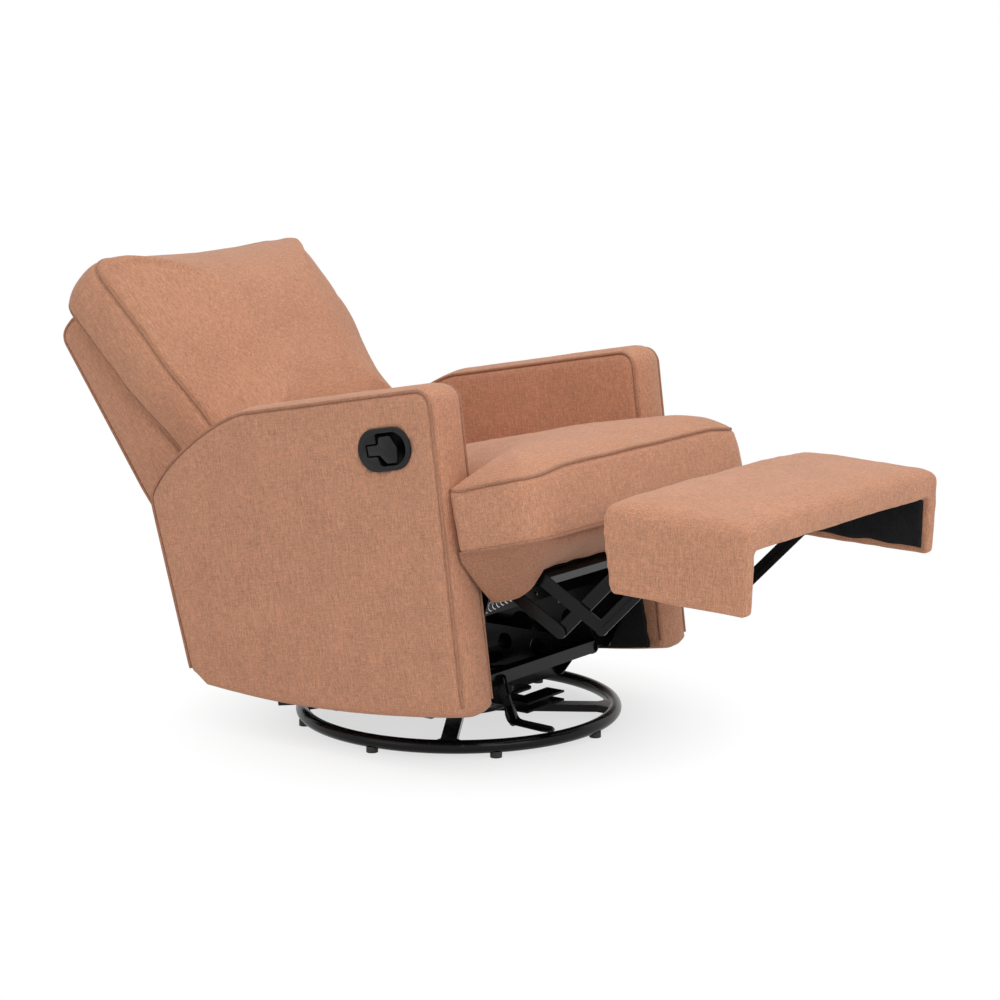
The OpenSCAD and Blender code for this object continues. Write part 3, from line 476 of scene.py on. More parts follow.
def ovalShape(length, height, steps=20):
    run = (length - height) / 2
    return arc((run, 0), height / 2, -90, 90, steps) + arc((-run, 0), height / 2, 90, 270, steps)


def edged(piece, width, segments=3):
    piece.data.shade_flat()
    return modified(piece, "BEVEL", width=width, segments=segments, limit_method="ANGLE",
                    angle_limit=math.radians(35), harden_normals=True)


def eased(value, start, end):
    t = np.clip((value - start) / (end - start), 0, 1)
    return t * t * (3 - 2 * t)


def settle(piece, place):
    # from its own straight frame to the place that the CAD gives it
    piece.data.transform(place)
    piece.data.update()
    return piece


def inflate(piece, pinned, cap):
    # the filling pushes the cover out between its seams, each point by cap at most
    start = spots(piece)
    seams = piece.vertex_groups.new(name="seams")
    seams.add([int(i) for i in np.flatnonzero(pinned)], 1.0, "REPLACE")
    cloth = piece.modifiers.new("filling", "CLOTH")
    cloth.settings.quality = 5
    cloth.settings.use_pressure = True
    cloth.settings.uniform_pressure_force = stuffing["pressure"]
    cloth.settings.vertex_group_mass = "seams"
    cloth.settings.effector_weights.gravity = 0
    cloth.collision_settings.use_collision = False
    cloth.point_cache.frame_start, cloth.point_cache.frame_end = 1, stuffing["frames"]
    for step in range(1, stuffing["frames"] + 1):
        scene.frame_set(step)
    applied(piece)
    move = spots(piece) - start
    far = np.linalg.norm(move, axis=1)
    setSpots(piece, start + move * np.minimum(1.0, cap / np.maximum(far, 1e-9))[:, None])
    scene.frame_set(1)


def finished(piece, replaces=()):
    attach(piece, piece["rideBody"])
    if replaces:
        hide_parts(*replaces)
    return piece


# What both cushions share: how they are stuffed, rumpled and piped along their seams
stuffing = {
    "voxel": 0.0065, "step": 0.010, "flatBand": 0.004, "pinned": 0.007, "upright": 0.6,
    "pressure": 4.0, "frames": 20, "rumples": ((0.0022, 0.11, 3.1), (0.0007, 0.028, 8.4)),
    "welt": 0.0030, "weltLift": 0.0014, "weltOut": 0.004, "weltSpread": 1.06,
    "tuck": 0.0034, "tuckWidth": 0.0055,
}

# Seat cushion: a T-shaped slab whose ears stand in front of the arms, with a welt round both faces
seatCushion = {
    "forward": 0.173, "up": 0.383, "lean": 3.0,
    "neck": 0.2733, "ear": 0.3510, "half": 0.3465, "earEnd": -0.1655,
    "frontRadius": 0.052, "rearRadius": 0.012, "box": 0.1195,
    "crown": 0.046, "crownRun": 0.125, "crownPower": 2.3, "bulge": 0.005, "cap": 0.012,
    "earDrop": 0.008, "dropFrom": (0.23, -0.12), "dropRun": (0.09, 0.08),
    "beside": (0.0113, 0.012), "floor": -0.0600, "weltFloor": -0.0645,
}


def seatPlan(c):
    fr, rr = c["frontRadius"], c["rearRadius"]
    right = (arc((c["ear"] - fr, fr - c["half"]), fr, -90, 0, 8)
             + [(c["ear"], c["earEnd"]), (c["neck"], c["earEnd"])]
             + arc((c["neck"] - rr, c["half"] - rr), rr, 0, 90, 4))
    return evenly(right + [(-x, y) for x, y in right[::-1]], stuffing["step"])


def earDrop(co, c):
    # the top edge sags where the ears have nothing beside them
    (x, y), (runX, runY) = c["dropFrom"], c["dropRun"]
    out = np.clip((np.abs(co[:, 0]) - x) / runX, 0, 1) * np.clip((y - co[:, 1]) / runY, 0, 1)
    co[:, 2] -= c["earDrop"] * eased(out, 0, 1) * np.clip(co[:, 2] / (c["box"] / 2) + 1, 0, 2) / 2
    return co


def cushionForm(name, plan, c, finish, body, held):
    # held(co) says which points lie against a neighbour, and stay flat
    s, edge = stuffing, c["box"] / 2
    piece = forms(name, [[(x, y, z) for x, y in plan] for z in (-edge, edge)], finish, body)
    piece = remeshed(piece, s["voxel"], 2)
    co = spots(piece)
    level = lambda flat, z: np.column_stack([flat[:, :2], np.full(len(flat), z)])
    seams = [level(plan, z) for z in (edge, -edge)]
    away = distanceTo(level(co, 0.0), [level(plan, 0.0)])
    top = co[:, 2] > edge - s["flatBand"]
    dome = 1 - (1 - np.clip(away / c["crownRun"], 0, 1)) ** c["crownPower"]
    co[:, 2] += np.where(top, c["crown"] * dome, 0)
    normals = normalsOf(piece)
    side = np.abs(normals[:, 2]) < s["upright"]
    belly = c["bulge"] * np.clip(1 - (co[:, 2] / edge) ** 2, 0, 1) * side * ~held(co)
    co[:, :2] += normals[:, :2] * belly[:, None]
    setSpots(piece, co)
    pinned = (distanceTo(co, seams) < s["pinned"]) | held(co) | (co[:, 2] < s["flatBand"] - edge)
    inflate(piece, pinned, c["cap"])
    piece = modified(piece, "SUBSURF", levels=1, render_levels=1)
    rumple(piece, *s["rumples"])
    crease(piece, seams, s["tuck"], s["tuckWidth"])
    return piece, seams


def laidOn(piece, paths, lift):
    # moves each path onto the nearest point of the finished cover, lifted along its normal
    tree = bvhtree.BVHTree.FromObject(piece, bpy.context.evaluated_depsgraph_get())
    laid = []
    for path in paths:
        hits = [tree.find_nearest(Vector(p)) for p in path]
        spotsOn = np.array([tuple(h[0] + h[1] * lift) for h in hits])
        for _ in range(2):
            spotsOn = (np.roll(spotsOn, 1, 0) + 2 * spotsOn + np.roll(spotsOn, -1, 0)) / 4
        laid.append(spotsOn)
    return laid


def weltsOn(name, cushion, seams, body):
    # corded edges along the seams
    s = stuffing
    wide = [np.column_stack([seam[:, :2] - inward(seam[:, :2]) * s["weltOut"], seam[:, 2] * s["weltSpread"]])
            for seam in seams]
    # the piping finish is the darkened linen: painted shade along the seams
    return tubes(name, laidOn(cushion, wide, s["weltLift"]), s["welt"], "piping", body)


def shaped(piece, change):
    setSpots(piece, change(spots(piece)))
    return piece


boxPlace = inSeat(seatCushion["forward"], seatCushion["up"], seatCushion["lean"])


def besideArms(co):
    gapX, gapY = seatCushion["beside"]
    return (np.abs(co[:, 0]) > seatCushion["neck"] - gapX) & (co[:, 1] > seatCushion["earEnd"] - gapY)


def keepBetweenArms(co, low):
    # whatever swelled into an arm goes back the shorter way: inward, or forward to the ear's rear face
    over = np.abs(co[:, 0]) - seatCushion["neck"]
    behind = co[:, 1] - seatCushion["earEnd"]
    inArm = (over > 0) & (behind > 0)
    co[:, 0] = np.where(inArm & (over < behind), np.sign(co[:, 0]) * seatCushion["neck"], co[:, 0])
    co[:, 1] = np.where(inArm & (over >= behind), seatCushion["earEnd"], co[:, 1])
    co[:, 2] = np.maximum(co[:, 2], low)
    return co


plan = seatPlan(seatCushion)
seat, seams = cushionForm("seatCushion", plan, seatCushion, "cushion_fabric", "seat", besideArms)
shaped(seat, lambda co: earDrop(keepBetweenArms(co, seatCushion["floor"]), seatCushion))
seams = [earDrop(seam, seatCushion) for seam in seams]
seatWelts = weltsOn("seatCushionWelts", seat, seams, "seat")
settle(seat, boxPlace)
settle(shaped(seatWelts, lambda co: keepBetweenArms(co, seatCushion["weltFloor"])), boxPlace)
finished(seat, ["seat_cushion"])
finished(seatWelts)
print("seat cushion done")

# Back cushion: stands on the back frame's face, rounder at its top corners, sagging a little between them
backCushion = {
    "stand": (-0.0601, 0.395),
    "width": 0.2685, "half": 0.2765, "topRadius": 0.046, "footRadius": 0.024,
    "box": 0.0945, "crown": 0.084, "crownRun": 0.132, "crownPower": 2.5, "bulge": 0.010, "cap": 0.018,
    "flare": 0.022, "flareFrom": -0.120, "flareTo": 0.050, "rise": 0.009, "riseRun": 0.25,
    "fuller": 0.16, "fullerFrom": -0.14, "fullerTo": 0.12,
    "topSag": 0.012, "sagFrom": 0.2, "sideBow": 0.003, "bowBand": 0.02, "rear": -0.0475,
}


def backPlan(c):
    w, h, tr, br = c["width"], c["half"], c["topRadius"], c["footRadius"]
    right = arc((w - br, br - h), br, -90, 0, 5) + arc((w - tr, h - tr), tr, 0, 90, 8)
    points = evenly(right + [(-x, y) for x, y in right[::-1]], stuffing["step"])
    x, y = points.T
    sag = c["topSag"] * np.clip(1 - (x / (w - tr)) ** 2, 0, 1) * (y > c["sagFrom"])
    bow = c["sideBow"] * np.clip(1 - (y / (h - tr)) ** 2, 0, 1) * np.sign(x) * (np.abs(x) > w - c["bowBand"])
    # wider where it is free of the arms when upright
    flare = 1 + c["flare"] / w * eased(y, c["flareFrom"], c["flareTo"])
    return np.column_stack([(x - bow) * flare, y - sag + c["rise"] * eased(y, 0.0, c["riseRun"])])


def thickened(co, c):
    # deeper above the arms, with its rear face kept on the frame
    co[:, 2] += (co[:, 2] + c["box"] / 2) * c["fuller"] * eased(co[:, 1], c["fullerFrom"], c["fullerTo"])
    return co


backPlace = inSeat(-0.200, 0.330, 36.0)
backCushionPlace = (backPlace @ Matrix.Translation((0, *backCushion["stand"]))
                    @ Matrix.Rotation(math.radians(90), 4, "X"))
againstFrame = lambda co: co[:, 2] < stuffing["flatBand"] - backCushion["box"] / 2
flatBehind = lambda co: np.column_stack([co[:, :2], np.maximum(co[:, 2], backCushion["rear"])])
plan = backPlan(backCushion)
back, seams = cushionForm("backCushion", plan, backCushion, "back_fabric", "back", againstFrame)
shaped(back, lambda co: thickened(flatBehind(co), backCushion))
backWelts = weltsOn("backCushionWelts", back, [thickened(seam, backCushion) for seam in seams], "back")
settle(back, backCushionPlace)
settle(shaped(backWelts, flatBehind), backCushionPlace)
finished(back, ["back_cushion"])
finished(backWelts)
print("back cushion done")

# Arms and back frame: padded side forms, closed through levels across x
armForm = {
    "inner": 0.274, "outer": 0.366, "edge": 0.0120, "crest": 0.0055, "dome": 0.0030, "step": 0.008,
    "foot": (0.312, 0.047), "heel": (-0.322, 0.154), "rear": -0.360, "over": (-0.098, 0.490), "overRise": 0.139,
    "welt": 0.0031, "weltStep": 0.006, "seamSet": 0.0038, "seamIn": 0.0034, "tuck": 0.0034, "tuckWidth": 0.0052,
    "calm": (0.075, 0.08),
    "pocket": {"forward": 0.227, "up": 0.530, "length": 0.1094, "height": 0.0714, "depth": 0.0327},
}


def armBelly(forward):
    # the arm's lower edge, a shallow curve from its foot up to its heel
    (footU, footW), (heelU, heelW) = armForm["foot"], armForm["heel"]
    return footW + (heelW - 0.020 - footW) * ((footU - forward) / (footU - heelU)) ** 2


def armOutline():
    (u, w), rear, power = armForm["over"], armForm["rear"], 2 / 1.4
    over = [(u + (rear - u) * math.cos(a) ** power, w + armForm["overRise"] * math.sin(a) ** power)
            for a in np.radians(np.linspace(90, 0, 13))]
    under = [(u, armBelly(u)) for u in np.linspace(armForm["heel"][0], armForm["foot"][0], 24)[1:-1]]
    return (arc((0.298, 0.061), 0.014, -90, 0, 5) + arc((0.310, 0.597), 0.032, 0, 90, 8) + over
            + [(rear, 0.470)] + arc((-0.311, 0.168), 0.020, 180, 250, 5) + under)


def sideForm(name, outline, low, high, f, finish, body, place, calm=None):
    # outline is (forward, up) in the piece's frame, low and high its two faces along x
    turn, middle, edge = inward(outline), outline.mean(0), f["edge"]

    def ring(x, inset, share=0.0):
        flat = outline + turn * inset
        flat = flat + (middle - flat) * share
        return np.column_stack([np.full(len(flat), x), -flat[:, 0], flat[:, 1]])

    def face(x, sign):
        rings = []
        for share in (0.0, 0.03, 0.08, 0.16, 0.28, 0.42, 0.58, 0.76, 0.92):
            shape = ring(x, edge, share)
            shape[:, 0] += sign * f["dome"] * (1 - (1 - share) ** 4) * (1 if calm is None else calm(shape))
            rings.append(shape)
        return rings

    corner = [(edge * (1 - math.sin(a)), edge * (1 - math.cos(a))) for a in np.radians((22, 45, 68))]
    rings = face(low, -1)[::-1] + [ring(low + x, inset) for x, inset in corner[::-1]]
    rings += [ring(low + edge + (high - low - 2 * edge) * t, -f["crest"] * (1 - (2 * t - 1) ** 2))
              for t in np.linspace(0, 1, 9)]
    rings += [ring(high - x, inset) for x, inset in corner] + face(high, 1)
    return settle(forms(name, rings, finish, body), place)


def sideWelt(outline, x, set, place, keep):
    # the seam line along one edge, where keep(point) holds
    flat = outline + inward(outline) * set
    chosen = [p for p in flat if keep(p)]
    gaps = [math.dist(chosen[i], chosen[i - 1]) for i in range(len(chosen))]
    start = int(np.argmax(gaps))
    chosen = chosen[start:] + chosen[:start]
    return [tuple(place @ Vector((x, -u, w))) for u, w in chosen]


outline = evenly(armOutline(), armForm["step"])
pocket = armForm["pocket"]


def besideHandle(shape):
    away = np.hypot(-shape[:, 1] - pocket["forward"], shape[:, 2] - pocket["up"])
    return np.clip((away - armForm["calm"][0]) / armForm["calm"][1], 0, 1)


def aboveBelly(p):
    foot = armForm["foot"]
    return p[1] > foot[1] + 0.012 + 0.10 * ((foot[0] - p[0]) / 0.634) ** 2


for side, name, node in ((-1, "armRight", "arm_right"), (1, "armLeft", "arm_left")):
    low, high = sorted((side * armForm["inner"], side * armForm["outer"]))
    arm = sideForm(name, outline, low, high, armForm, "woven_fabric", "seat", seatPlace, besideHandle)
    rumple(arm, (0.0011, 0.13, 5.0 + side), (0.0004, 0.030, 9.0 + side))
    welts = [evenly(sideWelt(outline, side * x, armForm["seamSet"], seatPlace, aboveBelly), armForm["weltStep"],
                    closed=False)
             for x in (armForm["outer"] - armForm["seamIn"], armForm["inner"] + armForm["seamIn"])]
    crease(arm, welts, armForm["tuck"], armForm["tuckWidth"])
    if side < 0:
        inPocket = lambda t, a, b: (t, -pocket["forward"] - a, pocket["up"] + b)
        cutter = slab("pocketCutter", ovalShape(pocket["length"], pocket["height"], 16), -0.40,
                      pocket["depth"] - armForm["outer"], inPocket, "woven_fabric", "seat")
        cut(arm, settle(cutter, seatPlace))
    finished(arm, [node])
    # arm welts in the darkened piping linen: painted shade
    finished(tubes(name + "Welts", welts, armForm["welt"], "piping", "seat", closed=False))
print("arms done")

# Back frame: the same form, behind the back cushion
backForm = {
    "half": 0.266, "edge": 0.0095, "crest": 0.002, "dome": 0.0030, "step": 0.009,
    "welt": 0.0028, "weltStep": 0.006, "seamSet": 0.0028, "seamIn": 0.0025, "tuck": 0.0026, "tuckWidth": 0.005,
}
backShape = ([(-0.149, 0.0605), (0.0115, 0.0605)] + arc((-0.014, 0.624), 0.026, 0, 90, 8)
             + arc((-0.034, 0.620), 0.030, 90, 180, 8) + [(-0.122, 0.300)])
frameOutline = evenly(backShape, backForm["step"])
half = backForm["half"]
backFrame = sideForm("backFrame", frameOutline, -half, half, backForm, "back_fabric", "back", backPlace)
rumple(backFrame, (0.0010, 0.12, 2.0))
aroundTop = lambda p: p[1] > 0.10
welts = [evenly(sideWelt(frameOutline, x, backForm["seamSet"], backPlace, aroundTop), backForm["weltStep"],
                closed=False)
         for x in (backForm["seamIn"] - half, half - backForm["seamIn"])]
crease(backFrame, welts, backForm["tuck"], backForm["tuckWidth"])
finished(backFrame, ["back_frame"])
# back frame welts in the darkened piping linen: painted shade
finished(tubes("backFrameWelts", welts, backForm["welt"], "piping", "back", closed=False))
print("back frame done")


# Footrest board: a padded top wrapped down over a wing at each end
footPlace = inSeat(0.648, 0.394, -12.4)
footrest = {
    "voxel": 0.005, "half": 0.331, "length": 0.283, "pad": 0.042, "wing": 0.150, "wingThick": 0.024,
    "topRadius": 0.021, "edgeRadius": 0.017, "cornerRadius": 0.006, "rearSlope": 0.016,
    "crown": 0.018, "fullTop": 0.004, "topFrom": -0.036, "topRun": 0.030,
    "wingBow": 0.003, "bowBand": 0.009,
}


def boardSection(f):
    # across the footrest: its top and both wings
    half, r, wing, inner = f["half"], f["topRadius"], -f["wing"], f["half"] - f["wingThick"]
    return (arc((half - r, -r), r, 0, 90, 6) + arc((r - half, -r), r, 90, 180, 6)
            + [(-half, wing), (-inner, wing), (-inner, -f["pad"])]
            + [(inner, -f["pad"]), (inner, wing), (half, wing)])


def boardProfile(f):
    # along the footrest: rounded ends, and wings that slope at the rear
    length, r, s, wing = f["length"], f["edgeRadius"], f["cornerRadius"], f["wing"]
    return (arc((r, -r), r, 180, 90, 5) + arc((length - r, -r), r, 90, 0, 5)
            + arc((length - s, s - wing), s, 0, -90, 5) + arc((f["rearSlope"] + s, s - wing), s, 270, 180, 5)
            + [(0, -f["pad"] - 0.010)])


f = footrest
board = slab("footrestBoard", boardSection(f), -0.01, f["length"] + 0.01, lambda t, a, b: (a, -t, b),
             "footrest_fabric", "footrest")
cut(board, slab("boardProfile", boardProfile(f), -0.35, 0.35, lambda t, a, b: (t, -a, b), "footrest_fabric",
                "footrest"), "INTERSECT")
board = remeshed(board, f["voxel"], 2)
co = spots(board)
across, along = co[:, 0] / f["half"], -co[:, 1] / f["length"] * 2 - 1
soft = np.clip(1 - across ** 4, 0, 1) * np.clip(1 - along ** 4, 0, 1)
co[:, 2] += (f["fullTop"] + f["crown"] * soft) * np.clip((co[:, 2] - f["topFrom"]) / f["topRun"], 0, 1)
bow = np.clip(1 - ((co[:, 2] * 2 + f["wing"]) / f["wing"]) ** 2, 0, 1) * np.clip(1 - along ** 2, 0, 1)
co[:, 0] += np.where(np.abs(co[:, 0]) > f["half"] - f["bowBand"], f["wingBow"] * bow * np.sign(co[:, 0]), 0)
setSpots(board, co)
modified(board, "SUBSURF", levels=1, render_levels=1)
rumple(board, (0.0020, 0.085, 1.7), (0.0008, 0.024, 6.2))
settle(board, footPlace)
finished(board, ["footrest_board"])
print("footrest board done")

# Front apron: a skirt from under the cushion's front and ears, drawn back to the arms on both sides
apron = {
    "thick": 0.0024, "belly": 0.003, "fold": 0.0035, "hem": 0.0026, "lip": 0.011, "tuckedIn": 0.007,
    "under": 0.3205, "sideFrom": 0.24, "frontTo": 0.27, "foldsOutFrom": 0.23,
    "columns": 161, "lipRows": 3, "rows": 16, "flat": (1.02, 0.125), "area": 0.097,
    # top edge (x, forward), the lip's lower edge (x, forward), lower edge (x, forward, up), from arm to middle
    "guide": (((-0.344, 0.337), (-0.340, 0.336), (-0.2738, 0.337, 0.238)),
              ((-0.344, 0.362), (-0.334, 0.358), (-0.266, 0.353, 0.235)),
              ((-0.335, 0.395), (-0.309, 0.390), (-0.259, 0.385, 0.239)),
              ((-0.321, 0.440), (-0.307, 0.425), (-0.2575, 0.416, 0.254)),
              ((-0.321, 0.480), (-0.305, 0.460), (-0.2565, 0.436, 0.274)),
              ((-0.314, 0.505), (-0.300, 0.495), (-0.250, 0.443, 0.2865)),
              ((-0.296, 0.513), (-0.285, 0.511), (-0.225, 0.441, 0.2878)),
              ((-0.200, 0.514), (-0.200, 0.513), (-0.170, 0.4405, 0.2868)),
              ((0.000, 0.514), (0.000, 0.513), (0.000, 0.4405, 0.2850))),
}


def underCushion(forward):
    # where the cushion's lower face is, this far forward
    return apron["under"] + (forward - seatCushion["forward"]) * math.tan(math.radians(seatCushion["lean"]))


def apronGuides(columns):
    # the three edges, evenly along the skirt, the far side as the near one mirrored
    half = [[(x0, u0, underCushion(u0) + apron["tuckedIn"]), (x1, u1, underCushion(u1) - apron["lip"]), low]
            for (x0, u0), (x1, u1), low in apron["guide"]]
    whole = np.array(half + [[(-x, u, w) for x, u, w in row] for row in half[-2::-1]])
    at = np.concatenate([[0], np.cumsum(np.linalg.norm(np.diff(whole[:, 1], axis=0), axis=1))])
    even = np.linspace(0, at[-1], columns)
    rows = np.stack([[np.interp(even, at, whole[:, j, k]) for k in range(3)] for j in range(3)])
    for _ in range(6):
        rows[:, :, 1:-1] = (rows[:, :, :-2] + 2 * rows[:, :, 1:-1] + rows[:, :, 2:]) / 4
    return rows.transpose(0, 2, 1)


def apronPoint(i, j, guides):
    # the lip first, then the skin with its soft folds
    (top, lip, low), rows = (guide[i] for guide in guides), apron["lipRows"]
    if j < rows:
        x, u, w = top + (lip - top) * j / rows
        return (x, -u, w)
    t = (j - rows) / (apron["rows"] - rows)
    x, u, w = lip + (low - lip) * t
    out = Vector((x * 3 if abs(x) > apron["sideFrom"] else 0, -1 if abs(x) < apron["frontTo"] else -0.2, -0.4))
    wave = noise.noise(Vector((i / 7.0, t * 0.7, 2.2)))
    fold = apron["fold"] * t * (abs(wave) if abs(x) > apron["foldsOutFrom"] else wave)
    return Vector((x, -u, w)) + out.normalized() * (apron["belly"] * math.sin(math.pi * t) + fold)


columns, rowCount = apron["columns"], apron["rows"]
guides = apronGuides(columns)
points = [tuple(apronPoint(i, j, guides)) for j in range(rowCount + 1) for i in range(columns)]
# the skirt wears the darkened skirt linen: painted shade under the seat cushion
skirt = newPiece("frontApron", points, gridFaces(columns - 1, rowCount), "skirt_fabric", "seat")
modified(skirt, "SOLIDIFY", thickness=apron["thick"], offset=0.0)
modified(skirt, "SUBSURF", levels=1, render_levels=1)
settle(skirt, seatPlace)
finished(skirt, ["front_apron"])
hemLine = points[rowCount * columns:]
# the hem wears the same darkened linen: painted shade
hem = settle(tubes("apronHem", [hemLine], apron["hem"], "skirt_fabric", "seat", closed=False), seatPlace)
finished(hem)
print("apron done")


# Black cloth: stapled under the footrest, under the seat box and on the arms' inner faces
def clothGrid(name, spot, columns, rows, finish, body, place, thick=0.0012):
    # spot(a, b) gives the cloth's middle surface for a and b from 0 to 1
    points = [spot(i / columns, j / rows) for j in range(rows + 1) for i in range(columns + 1)]
    piece = newPiece(name, points, gridFaces(columns, rows), finish, body)
    modified(piece, "SOLIDIFY", thickness=thick, offset=0.0)
    return settle(piece, place)


footLining = {"half": 0.3055, "top": -0.0437, "low": -0.138, "rear": 0.013, "front": 0.270,
              "pull": 0.0016, "rag": 0.004}
liningDrop = footLining["top"] - footLining["low"]
liningRun = 2 * (footLining["half"] + liningDrop)


def liningSpot(a, b):
    # up one wing, across and down the other, ragged along both free edges
    f, along = footLining, a * liningRun
    u = f["rear"] + (f["front"] - f["rear"]) * b
    pull = f["pull"] * noise.noise(Vector((along / 0.05, u / 0.05, 0.4)))
    for side, gone, seed in ((-1, along, 3.3), (1, liningRun - along, 9.3)):
        if gone < liningDrop:
            rag = f["rag"] * noise.noise(Vector((u / 0.03, seed, 0))) * (1 - gone / liningDrop)
            return (side * (f["half"] - abs(pull)), -u, f["low"] + gone + rag)
    return (along - liningDrop - f["half"], -u, f["top"] - abs(pull))


lining = clothGrid("footrestLining", liningSpot, 96, 30, "black_lining", "footrest", footPlace)
finished(lining, ["footrest_lining"])

armLining = {"set": 0.0040, "rear": -0.300, "front": 0.285, "top": 0.246, "foot": 0.004,
             "pull": 0.0007, "rag": 0.003, "flat": (0.585, 0.195), "area": 0.0975}
for side, name in ((-1, "armLiningRight"), (1, "armLiningLeft")):
    def innerSpot(a, b):
        u = armLining["rear"] + (armLining["front"] - armLining["rear"]) * a
        low = armBelly(u) + armLining["foot"]
        rag = armLining["rag"] * noise.noise(Vector((b / 0.11, side, 0))) * (a > 0.98)
        pull = armLining["pull"] * noise.noise(Vector((u / 0.05, b / 0.3, side)))
        return (side * (armForm["inner"] - armLining["set"] - abs(pull)), -u - rag,
                low + (armLining["top"] - low) * b)
    cloth = clothGrid(name, innerSpot, 70, 20, "black_lining", "seat", seatPlace)
    finished(cloth)

dust = {"half": 0.234, "rear": -0.150, "front": 0.288, "up": -0.1225, "sag": 0.006, "pull": 0.001}


def dustSpot(a, b):
    sag = dust["sag"] * math.sin(math.pi * a) * math.sin(math.pi * b)
    pull = dust["pull"] * noise.noise(Vector((a / 0.1, b / 0.1, 0)))
    along = dust["rear"] + (dust["front"] - dust["rear"]) * b
    return (dust["half"] * (2 * a - 1), seatCushion["forward"] - along, dust["up"] - sag + pull)


dustCover = clothGrid("seatDustCover", dustSpot, 48, 40, "black_lining", "seat", boxPlace)
finished(dustCover)
print("linings done")

# Elastic webbing: five straps between the seat box's boards
strap = {"count": 5, "pitch": 0.0919, "width": 0.050, "thick": 0.0018, "rear": -0.168, "front": 0.288,
         "up": -0.0618, "rib": 0.0004}
straps = []
for k in range(strap["count"]):
    middle = (k - (strap["count"] - 1) / 2) * strap["pitch"]
    spot = lambda a, b: (middle + strap["width"] * (a - 0.5),
                         seatCushion["forward"] - strap["rear"] - (strap["front"] - strap["rear"]) * b,
                         strap["up"] + strap["rib"] * math.sin(4 * math.pi * a))
    straps.append(clothGrid("strap%d" % k, spot, 12, 40, "seat_webbing", "seat", boxPlace, strap["thick"]))
bpy.ops.object.select_all(action="DESELECT")
for piece in straps:
    piece.select_set(True)
bpy.context.view_layer.objects.active = straps[0]
bpy.ops.object.join()
webbing = straps[0]
webbing.name = "seatWebbing"
finished(webbing, ["seat_webbing"])

# Return springs: each coil runs from its fixed post to the arm of the control link that stretches it
spring = {"x": 0.2288, "post": (0.250, 0.205), "end": (0.3677, 0.2425), "turns": 9, "radius": 0.0070,
          "wire": 0.0012, "lead": 0.012, "postRadius": 0.004}
for side, name in ((-1, "returnSpringRight"), (1, "returnSpringLeft")):
    (u0, w0), (u1, w1) = spring["post"], spring["end"]
    span = math.dist(spring["post"], spring["end"])
    tip = spring["postRadius"] + 0.0004
    coil = [(tip, spring["radius"], 0.0)]
    body = span - 2 * spring["postRadius"] - 2 * spring["lead"]
    for i in range(spring["turns"] * 20 + 1):
        a = 2 * math.pi * i / 20
        coil.append((spring["postRadius"] + spring["lead"] + body * i / (spring["turns"] * 20),
                     spring["radius"] * math.cos(a), spring["radius"] * math.sin(a)))
    coil.append((span - tip, spring["radius"], 0.0))
    du, dw = (u1 - u0) / span, (w1 - w0) / span
    path = [seatPlace @ Vector((side * spring["x"] + out, -(u0 + du * t + dw * rise), w0 + dw * t - du * rise))
            for t, out, rise in coil]
    piece = tubes(name, [path], spring["wire"], "spring_steel", "seat", closed=False)
    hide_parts("footrest_springs")
    ends = [seatPlace @ Vector((side * spring["x"], -u, w)) for u, w in (spring["post"], spring["end"])]
    tuple(ends[0])
    tuple(ends[1])
    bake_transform(piece)
print("webbing and springs done")


# Pivot heads: rolled rivet heads on the linkage, each on the body that carries it
def dome(points, faces, centre, axis, radius, height, sides=18, rings=4):
    # a round head with a soft edge, seated on centre and standing out along x
    start = len(points)
    for k in range(rings + 1):
        a = math.pi / 2 * k / rings
        for i in range(sides):
            turn = 2 * math.pi * i / sides
            points.append((centre[0] + axis * (height * math.sin(a) - 0.0003),
                           centre[1] + radius * math.cos(a) * math.cos(turn),
                           centre[2] + radius * math.cos(a) * math.sin(turn)))
    for k in range(rings):
        for i in range(sides):
            a, b = start + k * sides, start + (k + 1) * sides
            faces.append((a + i, a + (i + 1) % sides, b + (i + 1) % sides, b + i))
    faces.append(tuple(start + i for i in range(sides)))


def alongLink(a, b, shares, x):
    # small flat heads at these shares of the way from a to b
    return [(x, -1, (a[0] + (b[0] - a[0]) * s, a[1] + (b[1] - a[1]) * s), *flatHead) for s in shares]


p1, p2, p3, p4 = (0.32176, 0.28109), (0.373, 0.316), (0.45376, 0.17009), (0.505, 0.205)
p7, p8 = (0.665, 0.314), (0.7048, 0.28053)
pivotHead, flatHead = (0.0062, 0.0026), (0.0036, 0.0011)
heads = {
    # (x of the seat, the way it stands, place, radius, height)
    "main_pair": [(0.2451, 1, p2, *pivotHead)] + alongLink(p2, p3, (0.28, 0.52), 0.2421),
    "control_pair": [(0.2362, -1, p4, *pivotHead), (0.2451, 1, p1, *pivotHead)]
                    + alongLink(p1, p4, (0.5, 0.75), 0.2421),
    "front_pair": alongLink(p4, p7, (0.2, 0.4, 0.6, 0.8), 0.2385),
    "footrest": [(0.2362, -1, p7, *pivotHead), (0.2510, 1, p8, *pivotHead)],
    "seat": [(0.2523, 1, (-0.10, 0.12), *pivotHead), (0.2523, 1, (0.12, 0.12), *pivotHead)],
}
for body, places in heads.items():
    points, faces = [], []
    for x, way, (u, w), radius, height in places:
        for side in (-1, 1):
            dome(points, faces, (side * x, -u, w), side * way, radius, height)
    piece = settle(newPiece("rivetHeads_" + body, points, faces, "rivet_steel", body), seatPlace)
    finished(piece)
spacer = {"x": 0.2375, "radius": 0.0084, "wire": 0.0011}
rings = [[tuple(seatPlace @ Vector((side * spacer["x"], -p1[0] - u, p1[1] + w)))
          for u, w in arc((0, 0), spacer["radius"], 0, 345, 23)] for side in (-1, 1)]
finished(tubes("pivotSpacers", rings, spacer["wire"], "red_plastic", "control_pair"))
print("pivot heads done")

